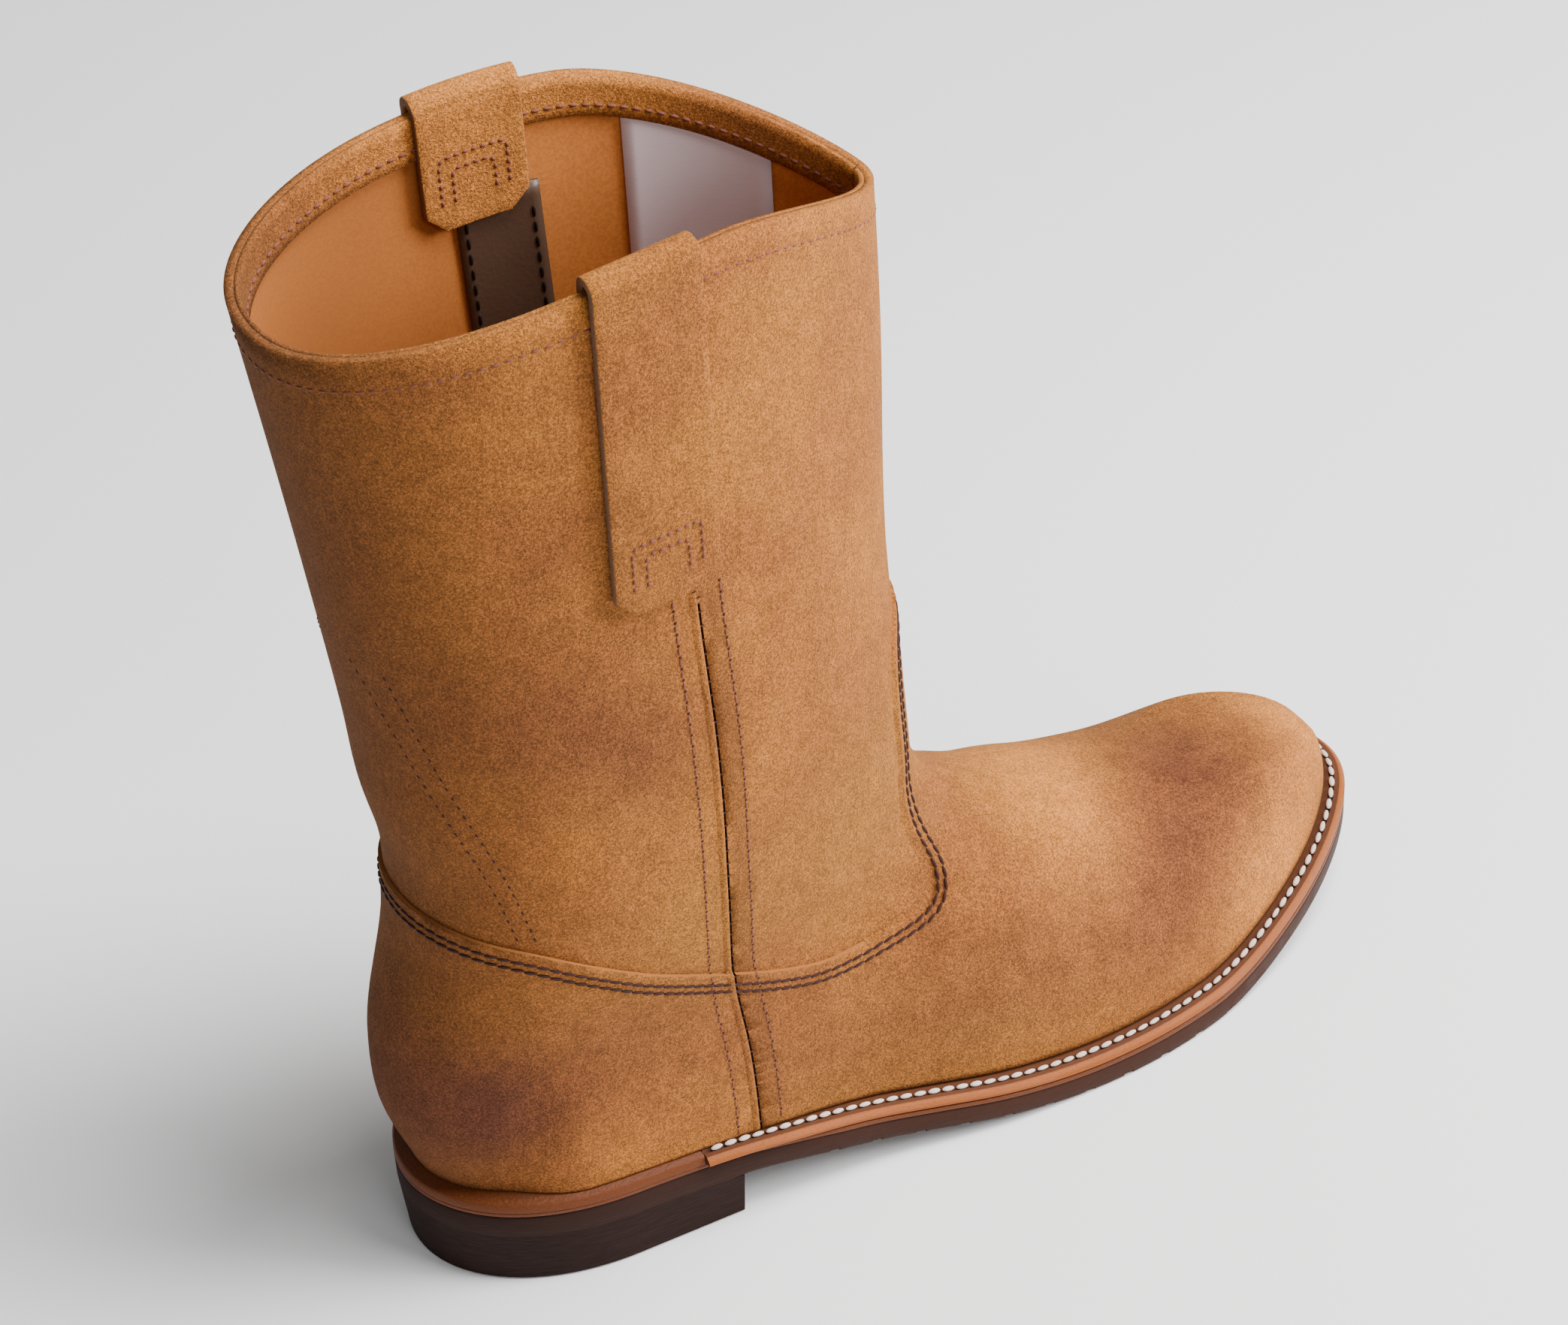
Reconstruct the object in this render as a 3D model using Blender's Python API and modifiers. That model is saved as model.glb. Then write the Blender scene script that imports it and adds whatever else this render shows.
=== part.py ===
"""Western work boot for the right foot: a tall pull-on upper on a welted sole with a block heel.

Frame: +X to the toe, +Y to the inner side of the foot, +Z up, in metres.
The origin is the centre of the heel's flat rest face, on the floor.
"""
import math

import bmesh
import bpy
import numpy as np
from mathutils import Matrix, Vector

# Plan of the last, measured at the feather line where the upper meets the welt
LAST_LENGTH = 0.2876
BALL_WIDTH = 0.0876
WAIST_WIDTH = 0.0586
HEEL_WIDTH = 0.0634
TOE_SWING = 0.0147
TOE_ROUND = 0.35
HEEL_ROUND = 0.155
TOE_FULLNESS = 1.95
HEEL_FULLNESS = 2.07

# Sole, from the floor up
HEEL_HEIGHT = 0.0174
HEEL_PITCH = 0.0025
WAIST_LIFT = 0.0056
TOE_SPRING = 0.0177
FOREFOOT_PRESS = 0.0002
OUTSOLE_THICKNESS = 0.0066
MIDSOLE_THICKNESS = 0.0014
WELT_THICKNESS = 0.0024
INSOLE_THICKNESS = 0.0026
INSOLE_CLEARANCE = 0.0016
WELT_EDGE = 0.0071
HEEL_EDGE = 0.0051
HEEL_LENGTH = 0.0778
HEEL_SET_IN = 0.0033
HEEL_TAPER = 0.0014
HEEL_CHAMFER = 0.0006
WELT_END = 0.0640
WELT_SEAT = 0.0026
WELT_ROUNDING = 0.0009
SOLE_BEVEL = 0.0007
TREAD_PITCH = 0.0125
TREAD_WIDTH = 0.0030
TREAD_DEPTH = 0.0012
GAP = 0.0003

# Foot part of the upper: rises above the feather line
UNDER_LEG_RISE = 0.0870
INSTEP_RISE = 0.0760
BALL_RISE = 0.0556
TOE_BOX_RISE = 0.0400
TOE_TIP_RISE = 0.0280
TOE_CLOSING = 0.144
SIDE_FULLNESS = 2.10
ROOF_FULLNESS = 2.21

# Shaft, measured from the heel seat
SHAFT_BACK_HEIGHT = 0.2586
SHAFT_FRONT_HEIGHT = 0.2490
SHAFT_LENGTH = 0.1456
SHAFT_WIDTH = 0.0934
SIDE_RISE = 0.0186
BACK_FULLNESS = 2.13
FRONT_FULLNESS = 1.68
WIDEST_SHARE = 0.40
THROAT_BLEND = 0.52

# Leather
WALL = 0.0022
OVERLAY_STEP = 0.0010
OVERLAY_ROOT = 0.0015
VAMP_BACK_HEIGHT = 0.0903
TONGUE_HEIGHT = 0.1300
TONGUE_WIDTH = 0.0380
SEAM_WIDTH = 0.0014
SEAM_DEPTH = 0.0009
STRAP_WIDTH = 0.0270
STRAP_THICKNESS = 0.0024
STRAP_DROP = 0.0860
STRAP_INSIDE = 0.0310
STRAP_CHAMFER = 0.0050
STRAP_GAP = 0.0004
STRAP_PLACE = 0.425

# How finely the curved pieces are faceted
UPPER_STATIONS = 23
SOLE_STATIONS = 30

STACK = WELT_THICKNESS + MIDSOLE_THICKNESS + OUTSOLE_THICKNESS + 3 * GAP
HEEL_SEAT = HEEL_HEIGHT + STACK
LAST_BACK = HEEL_SET_IN - HEEL_LENGTH / 2
LAST_TIP = LAST_BACK + LAST_LENGTH
BREAST = HEEL_LENGTH / 2

# Half widths of the last: share of length, then how much of each width the outer side takes,
# then how much of each width the inner side takes
PLAN = (
    # share, heel, waist, ball | heel, waist, ball
    (0.00, 0.49, 0.00, 0.000, 0.49, 0.00, 0.000),
    (0.14, 0.50, 0.00, 0.000, 0.50, 0.00, 0.000),
    (0.28, 0.30, 0.23, 0.000, 0.27, 0.20, 0.000),
    (0.41, 0.00, 0.565, 0.000, 0.00, 0.435, 0.000),
    (0.53, 0.00, 0.23, 0.296, 0.00, 0.22, 0.253),
    (0.64, 0.00, 0.00, 0.484, 0.00, 0.00, 0.481),
    (0.75, 0.00, 0.00, 0.494, 0.00, 0.00, 0.506),
    (0.86, 0.00, 0.00, 0.484, 0.00, 0.00, 0.506),
    (1.00, 0.00, 0.00, 0.469, 0.00, 0.00, 0.491),
)

# Underside of the sole above the floor: share of length, height
UNDERSIDE = (
    (0.00, HEEL_HEIGHT),
    (0.25, HEEL_HEIGHT - HEEL_PITCH),
    (0.45, WAIST_LIFT),
    (0.64, -FOREFOOT_PRESS),
    (0.76, -FOREFOOT_PRESS),
    (0.90, 0.46 * TOE_SPRING),
    (1.00, TOE_SPRING),
)

# Roof of the foot part above the feather line: share of length, rise
ROOF = (
    (0.15, UNDER_LEG_RISE),
    (0.30, UNDER_LEG_RISE),
    (0.42, 0.5 * (UNDER_LEG_RISE + INSTEP_RISE) + 0.05 * INSTEP_RISE),
    (0.54, INSTEP_RISE),
    (0.70, BALL_RISE),
    (0.893, TOE_BOX_RISE),
    (1.00, TOE_TIP_RISE),
)

# Side view and width of the shaft: height above the seat as a share of the back height,
# back and front edge as shares of the shaft's length from the last's back, half width share
SHAFT = (
    # height, back, front, half width
    (0.000, 0.000, 0.997, 0.340),
    (0.085, -0.044, 0.999, 0.352),
    (0.155, -0.044, 1.000, 0.366),
    (0.298, 0.019, 0.997, 0.430),
    (0.400, 0.018, 0.988, 0.456),
    (0.580, -0.011, 0.973, 0.475),
    (0.830, -0.057, 0.979, 0.492),
    (1.070, -0.106, 0.973, 0.502),
)

# Rows that run round the upper: where each starts at the back, as a share of the back height,
# and where it ends at the front, on the roof as a share of length or above it as a share of height
ROWS_AT_BACK = (0.0, 0.054, 0.124, 0.224, 0.313, 0.468, 0.720, 1.0)
ROWS_ON_ROOF = (0.893, 0.70, 0.54)
ROWS_ON_SHIN = (0.438, 0.566, 0.787, 1.0)

# How many rows of facets lie in each of the bands between those rows, from the feather line up
ROWS_PER_BAND = (8, 5, 4, 5, 3, 3, 3)

# Top edge of the vamp and counter in side view: share of length, share of the height at the back
VAMP_EDGE = (
    (-0.100, 1.000),
    (0.012, 1.000),
    (0.048, 0.968),
    (0.086, 0.930),
    (0.131, 0.856),
    (0.195, 0.733),
    (0.259, 0.619),
    (0.312, 0.527),
    (0.362, 0.466),
    (0.412, 0.457),
)

# Front of the vamp and its tongue seen from ahead: share of the tongue's half width and height
TONGUE_EDGE = (
    (2.200, 0.317),
    (1.600, 0.317),
    (1.500, 0.325),
    (1.420, 0.345),
    (1.330, 0.375),
    (1.220, 0.420),
    (1.120, 0.490),
    (1.040, 0.580),
    (1.000, 0.680),
    (1.000, 0.860),
    (0.930, 0.925),
    (0.740, 0.970),
    (0.420, 0.996),
    (0.000, 1.000),
)

# Side seam: share of the back height above the seat, share of the shaft's length
SIDE_SEAM = ((-0.06, 0.560), (0.106, 0.546), (0.215, 0.520), (0.485, 0.502), (0.700, 0.478), (1.1, 0.455))


def smooth(table, column=1):
    """Cubic curve through a table, with the tangents of its neighbours."""
    xs = np.array([row[0] for row in table])
    ys = np.array([row[column] for row in table])
    slopes = np.gradient(ys, xs)

    def curve(x):
        x = np.clip(x, xs[0], xs[-1])
        i = np.clip(np.searchsorted(xs, x) - 1, 0, len(xs) - 2)
        span = xs[i + 1] - xs[i]
        t = (x - xs[i]) / span
        return ((1 + 2 * t) * (1 - t) ** 2 * ys[i] + t * (1 - t) ** 2 * span * slopes[i]
                + t * t * (3 - 2 * t) * ys[i + 1] + t * t * (t - 1) * span * slopes[i + 1])
    return curve


def steady(table):
    """Cubic curve through a table that never overshoots its points."""
    xs = np.array([row[0] for row in table])
    ys = np.array([row[1] for row in table])
    chords = np.diff(ys) / np.diff(xs)
    slopes = np.concatenate([chords[:1], (chords[1:] + chords[:-1]) / 2, chords[-1:]])
    for i, chord in enumerate(chords):
        if abs(chord) < 1e-12:
            slopes[i] = slopes[i + 1] = 0.0
            continue
        a, b = slopes[i] / chord, slopes[i + 1] / chord
        if a < 0 or b < 0:
            slopes[i] = 0.0 if a < 0 else slopes[i]
            slopes[i + 1] = 0.0 if b < 0 else slopes[i + 1]
        elif math.hypot(a, b) > 3:
            slopes[i] = 3 * a / math.hypot(a, b) * chord
            slopes[i + 1] = 3 * b / math.hypot(a, b) * chord

    def curve(x):
        x = np.clip(x, xs[0], xs[-1])
        i = np.clip(np.searchsorted(xs, x) - 1, 0, len(xs) - 2)
        span = xs[i + 1] - xs[i]
        t = (x - xs[i]) / span
        return ((1 + 2 * t) * (1 - t) ** 2 * ys[i] + t * (1 - t) ** 2 * span * slopes[i]
                + t * t * (3 - 2 * t) * ys[i + 1] + t * t * (t - 1) * span * slopes[i + 1])
    return curve


def rounding(share, fullness):
    """Rises from 0 to 1 like the quarter of a rounded end."""
    share = np.clip(share, 0.0, 1.0)
    return (1 - (1 - share) ** fullness) ** (1 / fullness)


underside = steady(UNDERSIDE)
outer_plan = smooth([(r[0], r[1] * HEEL_WIDTH + r[2] * WAIST_WIDTH + r[3] * BALL_WIDTH) for r in PLAN])
inner_plan = smooth([(r[0], r[4] * HEEL_WIDTH + r[5] * WAIST_WIDTH + r[6] * BALL_WIDTH) for r in PLAN])
roof = smooth(ROOF)
shaft_back = smooth(SHAFT, 1)
shaft_front = smooth(SHAFT, 2)
shaft_half_width = smooth(SHAFT, 3)


def share_of(x):
    """Share of the last's length at an x."""
    return np.clip((x - LAST_BACK) / LAST_LENGTH, 0.0, 1.0)


def swing(x):
    """How far the last's centre line turns inwards at an x."""
    return TOE_SWING * np.clip((share_of(x) - 0.42) / 0.58, 0.0, 1.0) ** 1.5


def feather(x):
    """Height of the feather line, where the upper meets the sole."""
    return underside(share_of(x)) + STACK


def plan_edge(share, outset):
    """Points of the outer and inner edge of a layer, set out square to the feather line."""
    def edge(s):
        closing = rounding(s / HEEL_ROUND, HEEL_FULLNESS) * rounding((1 - s) / TOE_ROUND, TOE_FULLNESS)
        x = LAST_BACK + s * LAST_LENGTH
        return (np.stack([x, swing(x) - outer_plan(s) * closing], -1),
                np.stack([x, swing(x) + inner_plan(s) * closing], -1))

    edges = edge(share)
    before = edge(np.clip(share - 1e-4, 0, 1))
    after = edge(np.clip(share + 1e-4, 0, 1))
    moved = []
    for side, (here, back, front) in zip((-1, 1), zip(edges, before, after)):
        along = front - back
        normal = side * np.stack([-along[..., 1], along[..., 0]], -1)
        normal /= np.linalg.norm(normal, axis=-1, keepdims=True)
        normal[share <= 0] = (-1, 0)
        normal[share >= 1] = (1, 0)
        moved.append(here + normal * outset)
    return moved


def foot_field(x, y, z):
    """Negative inside the foot part of the form, 0 on its surface."""
    share = share_of(x)
    closing = np.maximum(rounding((1 - share) / TOE_ROUND, TOE_FULLNESS), 1e-4)
    across = y - swing(x)
    half = np.where(across < 0, outer_plan(share), inner_plan(share)) * closing
    floor = feather(x)
    height = np.maximum(roof(share) * rounding((1 - share) / TOE_CLOSING, 2.3), 1e-6)
    side = (np.abs(across) / half) ** SIDE_FULLNESS
    top = np.maximum((z - floor) / height, 0) ** ROOF_FULLNESS
    behind = np.maximum((LAST_BACK + 0.12 * LAST_LENGTH - x) / (0.07 * LAST_LENGTH), 0) ** 2
    return side + top - 1 + behind + np.maximum((x - LAST_TIP) / (0.017 * LAST_LENGTH), 0)


def shaft_edges(z):
    """Back x, front x and half width of the shaft at a height."""
    level = (z - HEEL_SEAT) / SHAFT_BACK_HEIGHT
    return (LAST_BACK + SHAFT_LENGTH * shaft_back(level), LAST_BACK + SHAFT_LENGTH * shaft_front(level),
            SHAFT_WIDTH * shaft_half_width(level))


def shaft_field(x, y, z):
    """Negative inside the shaft part of the form, 0 on its surface."""
    back, front, half = shaft_edges(z)
    widest = back + WIDEST_SHARE * (front - back)
    along = np.where(x < widest, (widest - x) / (widest - back), (x - widest) / (front - widest))
    pointed = 2 + (FRONT_FULLNESS - 2) * np.clip((z - HEEL_SEAT) / SHAFT_BACK_HEIGHT / 0.46 - 0.25, 0, 1)
    fullness = np.where(x < widest, BACK_FULLNESS, pointed)
    return along ** 2.2 + (np.abs(y) / half) ** fullness - 1


def form(x, y, z):
    """Foot and shaft run into each other over a soft throat."""
    foot = foot_field(x, y, z)
    shaft = shaft_field(x, y, z)
    mix = np.clip(0.5 + 0.5 * (shaft - foot) / THROAT_BLEND, 0, 1)
    return shaft * (1 - mix) + foot * mix - THROAT_BLEND * mix * (1 - mix)


def reach(field, low, high):
    """Distance at which a field changes from inside to outside, by halving."""
    low = np.array(low, float)
    high = np.array(high, float)
    for _ in range(26):
        middle = 0.5 * (low + high)
        inside = field(middle) < 0
        low = np.where(inside, middle, low)
        high = np.where(inside, high, middle)
    return 0.5 * (low + high)


def side_reach(x, z, side):
    """Distance from the centre line to the form's surface on one side (-1 outer, 1 inner)."""
    start = swing(x)
    return reach(lambda d: form(x, start + side * d, z), 0 * x, 0 * x + 0.86 * SHAFT_WIDTH)


def front_profile():
    """Centre line of the form from the toe's feather point up to the collar."""
    hub = np.array([LAST_BACK + 0.33 * LAST_LENGTH, HEEL_SEAT + 0.16 * SHAFT_BACK_HEIGHT])
    start = math.atan2(feather(LAST_TIP) - hub[1], LAST_TIP - hub[0])
    angles = np.linspace(start, math.radians(88), 400)

    def along_ray(r):
        x = hub[0] + r * np.cos(angles)
        return form(x, swing(x), hub[1] + r * np.sin(angles))

    r = reach(along_ray, 0 * angles + 0.02 * LAST_LENGTH, 0 * angles + 1.15 * LAST_LENGTH)
    x = hub[0] + r * np.cos(angles)
    z = hub[1] + r * np.sin(angles)
    keep = z <= HEEL_SEAT + SHAFT_FRONT_HEIGHT + 0.001
    x, z = x[keep], z[keep]
    x[0], z[0] = LAST_TIP, feather(LAST_TIP)
    length = np.concatenate([[0], np.cumsum(np.hypot(np.diff(x), np.diff(z)))])
    return x, z, length


def rim_rise(station):
    """Scallop of the collar: how much the rim stands up at a station from back to front."""
    peak = 0.276
    across = 2 * station - 1 - peak
    reach_to_end = np.where(across < 0, 1 + peak, 1 - peak)
    return SIDE_RISE * (1 - np.abs(across / reach_to_end) ** 1.62)


def row_levels():
    """Levels of the upper's rows of facets, from the feather line (0) to the collar (7)."""
    levels = [0.0]
    for band, rows in enumerate(ROWS_PER_BAND):
        levels += [band + (i + 1) / rows for i in range(rows)]
    return np.array(levels)


def upper_rows(level, stations):
    """Closed rows of points round the form at the given levels."""
    x, z, length = front_profile()
    knots = [0.0]
    knots += [length[np.argmax(x <= LAST_BACK + s * LAST_LENGTH)] for s in ROWS_ON_ROOF]
    knots += [np.interp(HEEL_SEAT + s * SHAFT_FRONT_HEIGHT, z, length) for s in ROWS_ON_SHIN]
    at_front = steady(list(enumerate(knots)))(level)
    front_x = np.interp(at_front, length, x)
    front_z = np.interp(at_front, length, z)
    back_z = HEEL_SEAT + SHAFT_BACK_HEIGHT * steady(list(enumerate(ROWS_AT_BACK)))(level)
    back_x = shaft_edges(back_z)[0]
    station = (1 - np.cos(np.pi * np.arange(stations) / (stations - 1))) / 2
    grid_x = back_x[:, None] + station * (front_x - back_x)[:, None]
    straight_z = back_z[:, None] + station * (front_z - back_z)[:, None]
    low = np.clip(level, 0, 1)[:, None]
    rise = (back_z[:, None] - HEEL_SEAT) * (1 - station) + (front_z[:, None] - feather(LAST_TIP)) * station
    grid_z = low * straight_z + (1 - low) * (feather(grid_x) + rise)
    lift = rim_rise(station) * np.clip((level - 5) / 2, 0, 1)[:, None] ** 1.5
    sides = []
    for side in (-1, 1):
        width = side_reach(grid_x, grid_z, side)
        width[:, 0] = width[:, -1] = 0
        sides.append(np.stack([grid_x, swing(grid_x) + side * width, grid_z + lift], -1))
    return np.concatenate([sides[0], sides[1][:, -2:0:-1]], 1)


def vamp_edge_height(x):
    """Height of the vamp's top edge in side view."""
    share = (x - LAST_BACK) / LAST_LENGTH
    return HEEL_SEAT + VAMP_BACK_HEIGHT * smooth(VAMP_EDGE)(share)


def new_collection(name):
    group = bpy.data.collections.new(name)
    bpy.context.scene.collection.children.link(group)
    return group


def leather_material(name, colour, roughness):
    material = bpy.data.materials.new(name)
    material.use_nodes = True
    shader = material.node_tree.nodes["Principled BSDF"]
    shader.inputs["Base Color"].default_value = (*colour, 1.0)
    shader.inputs["Roughness"].default_value = roughness
    return material


def mesh_object(name, bm, group, material=None):
    """Turns a bmesh into an object in a collection."""
    mesh = bpy.data.meshes.new(name)
    bm.to_mesh(mesh)
    bm.free()
    thing = bpy.data.objects.new(name, mesh)
    group.objects.link(thing)
    if material:
        mesh.materials.append(material)
        mesh.shade_smooth()
        mesh.set_sharp_from_angle(angle=math.radians(35))
    return thing


def loft(sections, closed=True, capped=True):
    """Skin over a row of sections, each a list of points; ends that meet in a point are closed."""
    bm = bmesh.new()
    rings = [[bm.verts.new(point) for point in section] for section in sections]
    count = len(rings[0])
    for low, high in zip(rings, rings[1:]):
        for j in range(count if closed else count - 1):
            k = (j + 1) % count
            bm.faces.new((low[j], low[k], high[k], high[j]))
    if capped:
        bm.faces.new(rings[0][::-1])
        bm.faces.new(rings[-1])
    bmesh.ops.remove_doubles(bm, verts=bm.verts, dist=1e-6)
    bmesh.ops.dissolve_degenerate(bm, edges=bm.edges, dist=1e-7)
    if capped:
        bmesh.ops.recalc_face_normals(bm, faces=bm.faces)
    return bm


def add_boolean(target, operation, other):
    modifier = target.modifiers.new(operation.lower() + "_" + other.name, "BOOLEAN")
    modifier.operation = operation
    modifier.object = other
    modifier.solver = "EXACT"


def as_cutter(thing):
    thing.hide_render = True
    thing.display_type = "WIRE"
    return thing


def prism(name, outline, sweep, group):
    """A flat outline swept straight along a vector, used as a cutter."""
    bm = bmesh.new()
    face = bm.faces.new([bm.verts.new(point) for point in outline])
    swept = bmesh.ops.extrude_face_region(bm, geom=[face])
    bmesh.ops.translate(bm, vec=sweep, verts=[v for v in swept["geom"] if isinstance(v, bmesh.types.BMVert)])
    bmesh.ops.recalc_face_normals(bm, faces=bm.faces)
    return as_cutter(mesh_object(name, bm, group))


def layer_stations(start, end, count=SOLE_STATIONS):
    """Shares of length, closer together towards rounded ends."""
    wave = (1 - np.cos(np.pi * np.arange(count) / (count - 1))) / 2
    return start + (end - start) * wave


def layer(stations, profile):
    """A flat layer of the sole: its edge profile lists (outset, depth below the feather line)."""
    corners = []
    for outset, depth in profile:
        outer, inner = plan_edge(stations, outset)
        corners.append((outer, inner, depth))

    def raised(points, depth):
        z = feather(points[:, 0]) - depth
        return np.column_stack([points, z])

    sections = [raised(outer, depth) for outer, _, depth in corners]
    sections += [raised(inner, depth) for _, inner, depth in corners[::-1]]
    return np.stack(sections, 1)


def build_outsole(parts, cutters):
    """Rubber outsole: full length, flat at the ball, with shallow cross grooves in its tread."""
    top = 2 * GAP + WELT_THICKNESS + MIDSOLE_THICKNESS + GAP
    bottom = STACK
    stations = layer_stations(0, 1)
    edge = np.interp(stations, (0.26, 0.36), (HEEL_EDGE, WELT_EDGE))
    sections = layer(stations, ((edge[:, None] - 0.0, top),
                                (edge[:, None] - 0.0, bottom - SOLE_BEVEL),
                                (edge[:, None] - SOLE_BEVEL, bottom)))
    sections[..., 2] = np.maximum(sections[..., 2], 0.0)
    outsole = mesh_object("outsole", loft(sections), parts,
                          leather_material("outsole_rubber", (0.055, 0.034, 0.028), 0.55))

    bm = bmesh.new()
    count = int(0.62 * LAST_LENGTH / TREAD_PITCH)
    first = 0.66 * LAST_LENGTH - (count // 2 + 0.5) * TREAD_PITCH + 0.015 * LAST_LENGTH
    for i in range(count):
        x = LAST_BACK + first + i * TREAD_PITCH
        z = max(float(underside(share_of(x))), 0.0)
        slope = float(underside(share_of(x + 0.002)) - underside(share_of(x - 0.002))) / 0.004
        turn = Matrix.Rotation(-math.atan(slope), 4, "Y")
        bar = bmesh.ops.create_cube(bm, size=1)["verts"]
        bmesh.ops.scale(bm, vec=(TREAD_WIDTH, 2 * BALL_WIDTH, 2 * TREAD_DEPTH), verts=bar)
        bmesh.ops.transform(bm, matrix=Matrix.Translation((x, 0, z)) @ turn, verts=bar)
    grooves = as_cutter(mesh_object("tread_grooves", bm, cutters))
    add_boolean(outsole, "DIFFERENCE", grooves)


def build_heel(parts):
    """Block heel under the back of the outsole, slightly tapered, with a flat rest face."""
    stations = layer_stations(0, 2 * float(share_of(BREAST)), 2 * SOLE_STATIONS)
    stations = np.append(stations[stations < share_of(BREAST)], share_of(BREAST))
    sections = layer(stations, ((HEEL_EDGE, STACK + GAP),
                                (HEEL_EDGE - HEEL_TAPER, STACK + GAP),
                                (HEEL_EDGE - HEEL_TAPER - HEEL_CHAMFER, STACK + GAP)))
    sections[:, (1, 4), 2] = HEEL_CHAMFER
    sections[:, (2, 3), 2] = 0.0
    mesh_object("heel", loft(sections), parts, leather_material("heel_rubber", (0.050, 0.030, 0.025), 0.5))


def welt_path(start, count):
    """Shares and sides along the welt, from the outer end round the toe to the inner end."""
    out = start + (1 - start) * np.sin(0.5 * np.pi * np.arange(count) / (count - 1))
    return [(s, 0) for s in out] + [(s, 1) for s in out[-2::-1]]


def build_welt_ring(name, start, profile, group, material=None):
    """Ring round the front three quarters of the boot with a given cross section."""
    sections = []
    for share, side in welt_path(start, SOLE_STATIONS):
        section = []
        for outset, depth in profile:
            x, y = plan_edge(np.array([share]), outset)[side][0]
            section.append((x, y, float(feather(x)) - depth))
        sections.append(section)
    return mesh_object(name, loft(sections), group, material)


def build_welt(parts):
    """Leather welt stitched round the forefoot and waist; the upper stands on its inner margin."""
    top = GAP
    bottom = GAP + WELT_THICKNESS
    profile = ((-WELT_SEAT, top), (WELT_EDGE - WELT_ROUNDING, top), (WELT_EDGE, top + WELT_ROUNDING),
               (WELT_EDGE, bottom), (-WELT_SEAT, bottom))
    build_welt_ring("welt", WELT_END / LAST_LENGTH, profile, parts,
                    leather_material("welt_leather", (0.42, 0.19, 0.09), 0.5))


def build_midsole(parts, cutters):
    """Leather midsole: full length, with a rebate round the front in which the welt lies."""
    top = GAP
    bottom = 2 * GAP + WELT_THICKNESS + MIDSOLE_THICKNESS
    stations = layer_stations(0, 1)
    edge = np.interp(stations, (0.26, 0.36), (HEEL_EDGE, WELT_EDGE))[:, None]
    midsole = mesh_object("midsole", loft(layer(stations, ((edge, top), (edge, bottom)))), parts,
                          leather_material("midsole_leather", (0.40, 0.18, 0.085), 0.5))
    rebate = 2 * GAP + WELT_THICKNESS
    clear = 0.004
    profile = ((-WELT_SEAT - GAP, top - clear), (WELT_EDGE + clear, top - clear),
               (WELT_EDGE + clear, rebate), (-WELT_SEAT - GAP, rebate))
    cutter = build_welt_ring("welt_rebate", (WELT_END - GAP) / LAST_LENGTH, profile, cutters)
    add_boolean(midsole, "DIFFERENCE", as_cutter(cutter))


def build_insole(parts):
    """Insole board inside the upper, clear of its wall all round."""
    footprint = upper_rows(row_levels(), SOLE_STATIONS)[0]
    along = np.roll(footprint, -1, 0) - np.roll(footprint, 1, 0)
    normal = np.stack([along[:, 1], -along[:, 0]], -1)
    normal /= np.linalg.norm(normal, axis=-1, keepdims=True)
    edge = footprint[:, :2] - normal * (WALL + INSOLE_CLEARANCE)
    outer, inner = edge[:SOLE_STATIONS], edge[-np.arange(SOLE_STATIONS)]

    def raised(points, height):
        return np.column_stack([points, feather(points[:, 0]) + height])

    sections = np.stack([raised(outer, INSOLE_THICKNESS), raised(outer, 0.0),
                         raised(inner, 0.0), raised(inner, INSOLE_THICKNESS)], 1)
    mesh_object("insole", loft(sections), parts, leather_material("insole_leather", (0.42, 0.25, 0.13), 0.7))


def open_skin(rows):
    """Open surface through closed rows of points, facing outwards."""
    bm = loft(rows, closed=True, capped=False)
    bm.normal_update()
    lowest = min(bm.faces, key=lambda f: f.calc_center_median().x)
    if lowest.normal.x > 0:
        bmesh.ops.reverse_faces(bm, faces=bm.faces)
    return bm


def add_solidify(thing, thickness, outward):
    """Thickness for an open skin, a part of it outside the skin and the rest inside."""
    modifier = thing.modifiers.new("thickness", "SOLIDIFY")
    modifier.thickness = thickness
    modifier.offset = 2 * outward / thickness - 1


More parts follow.
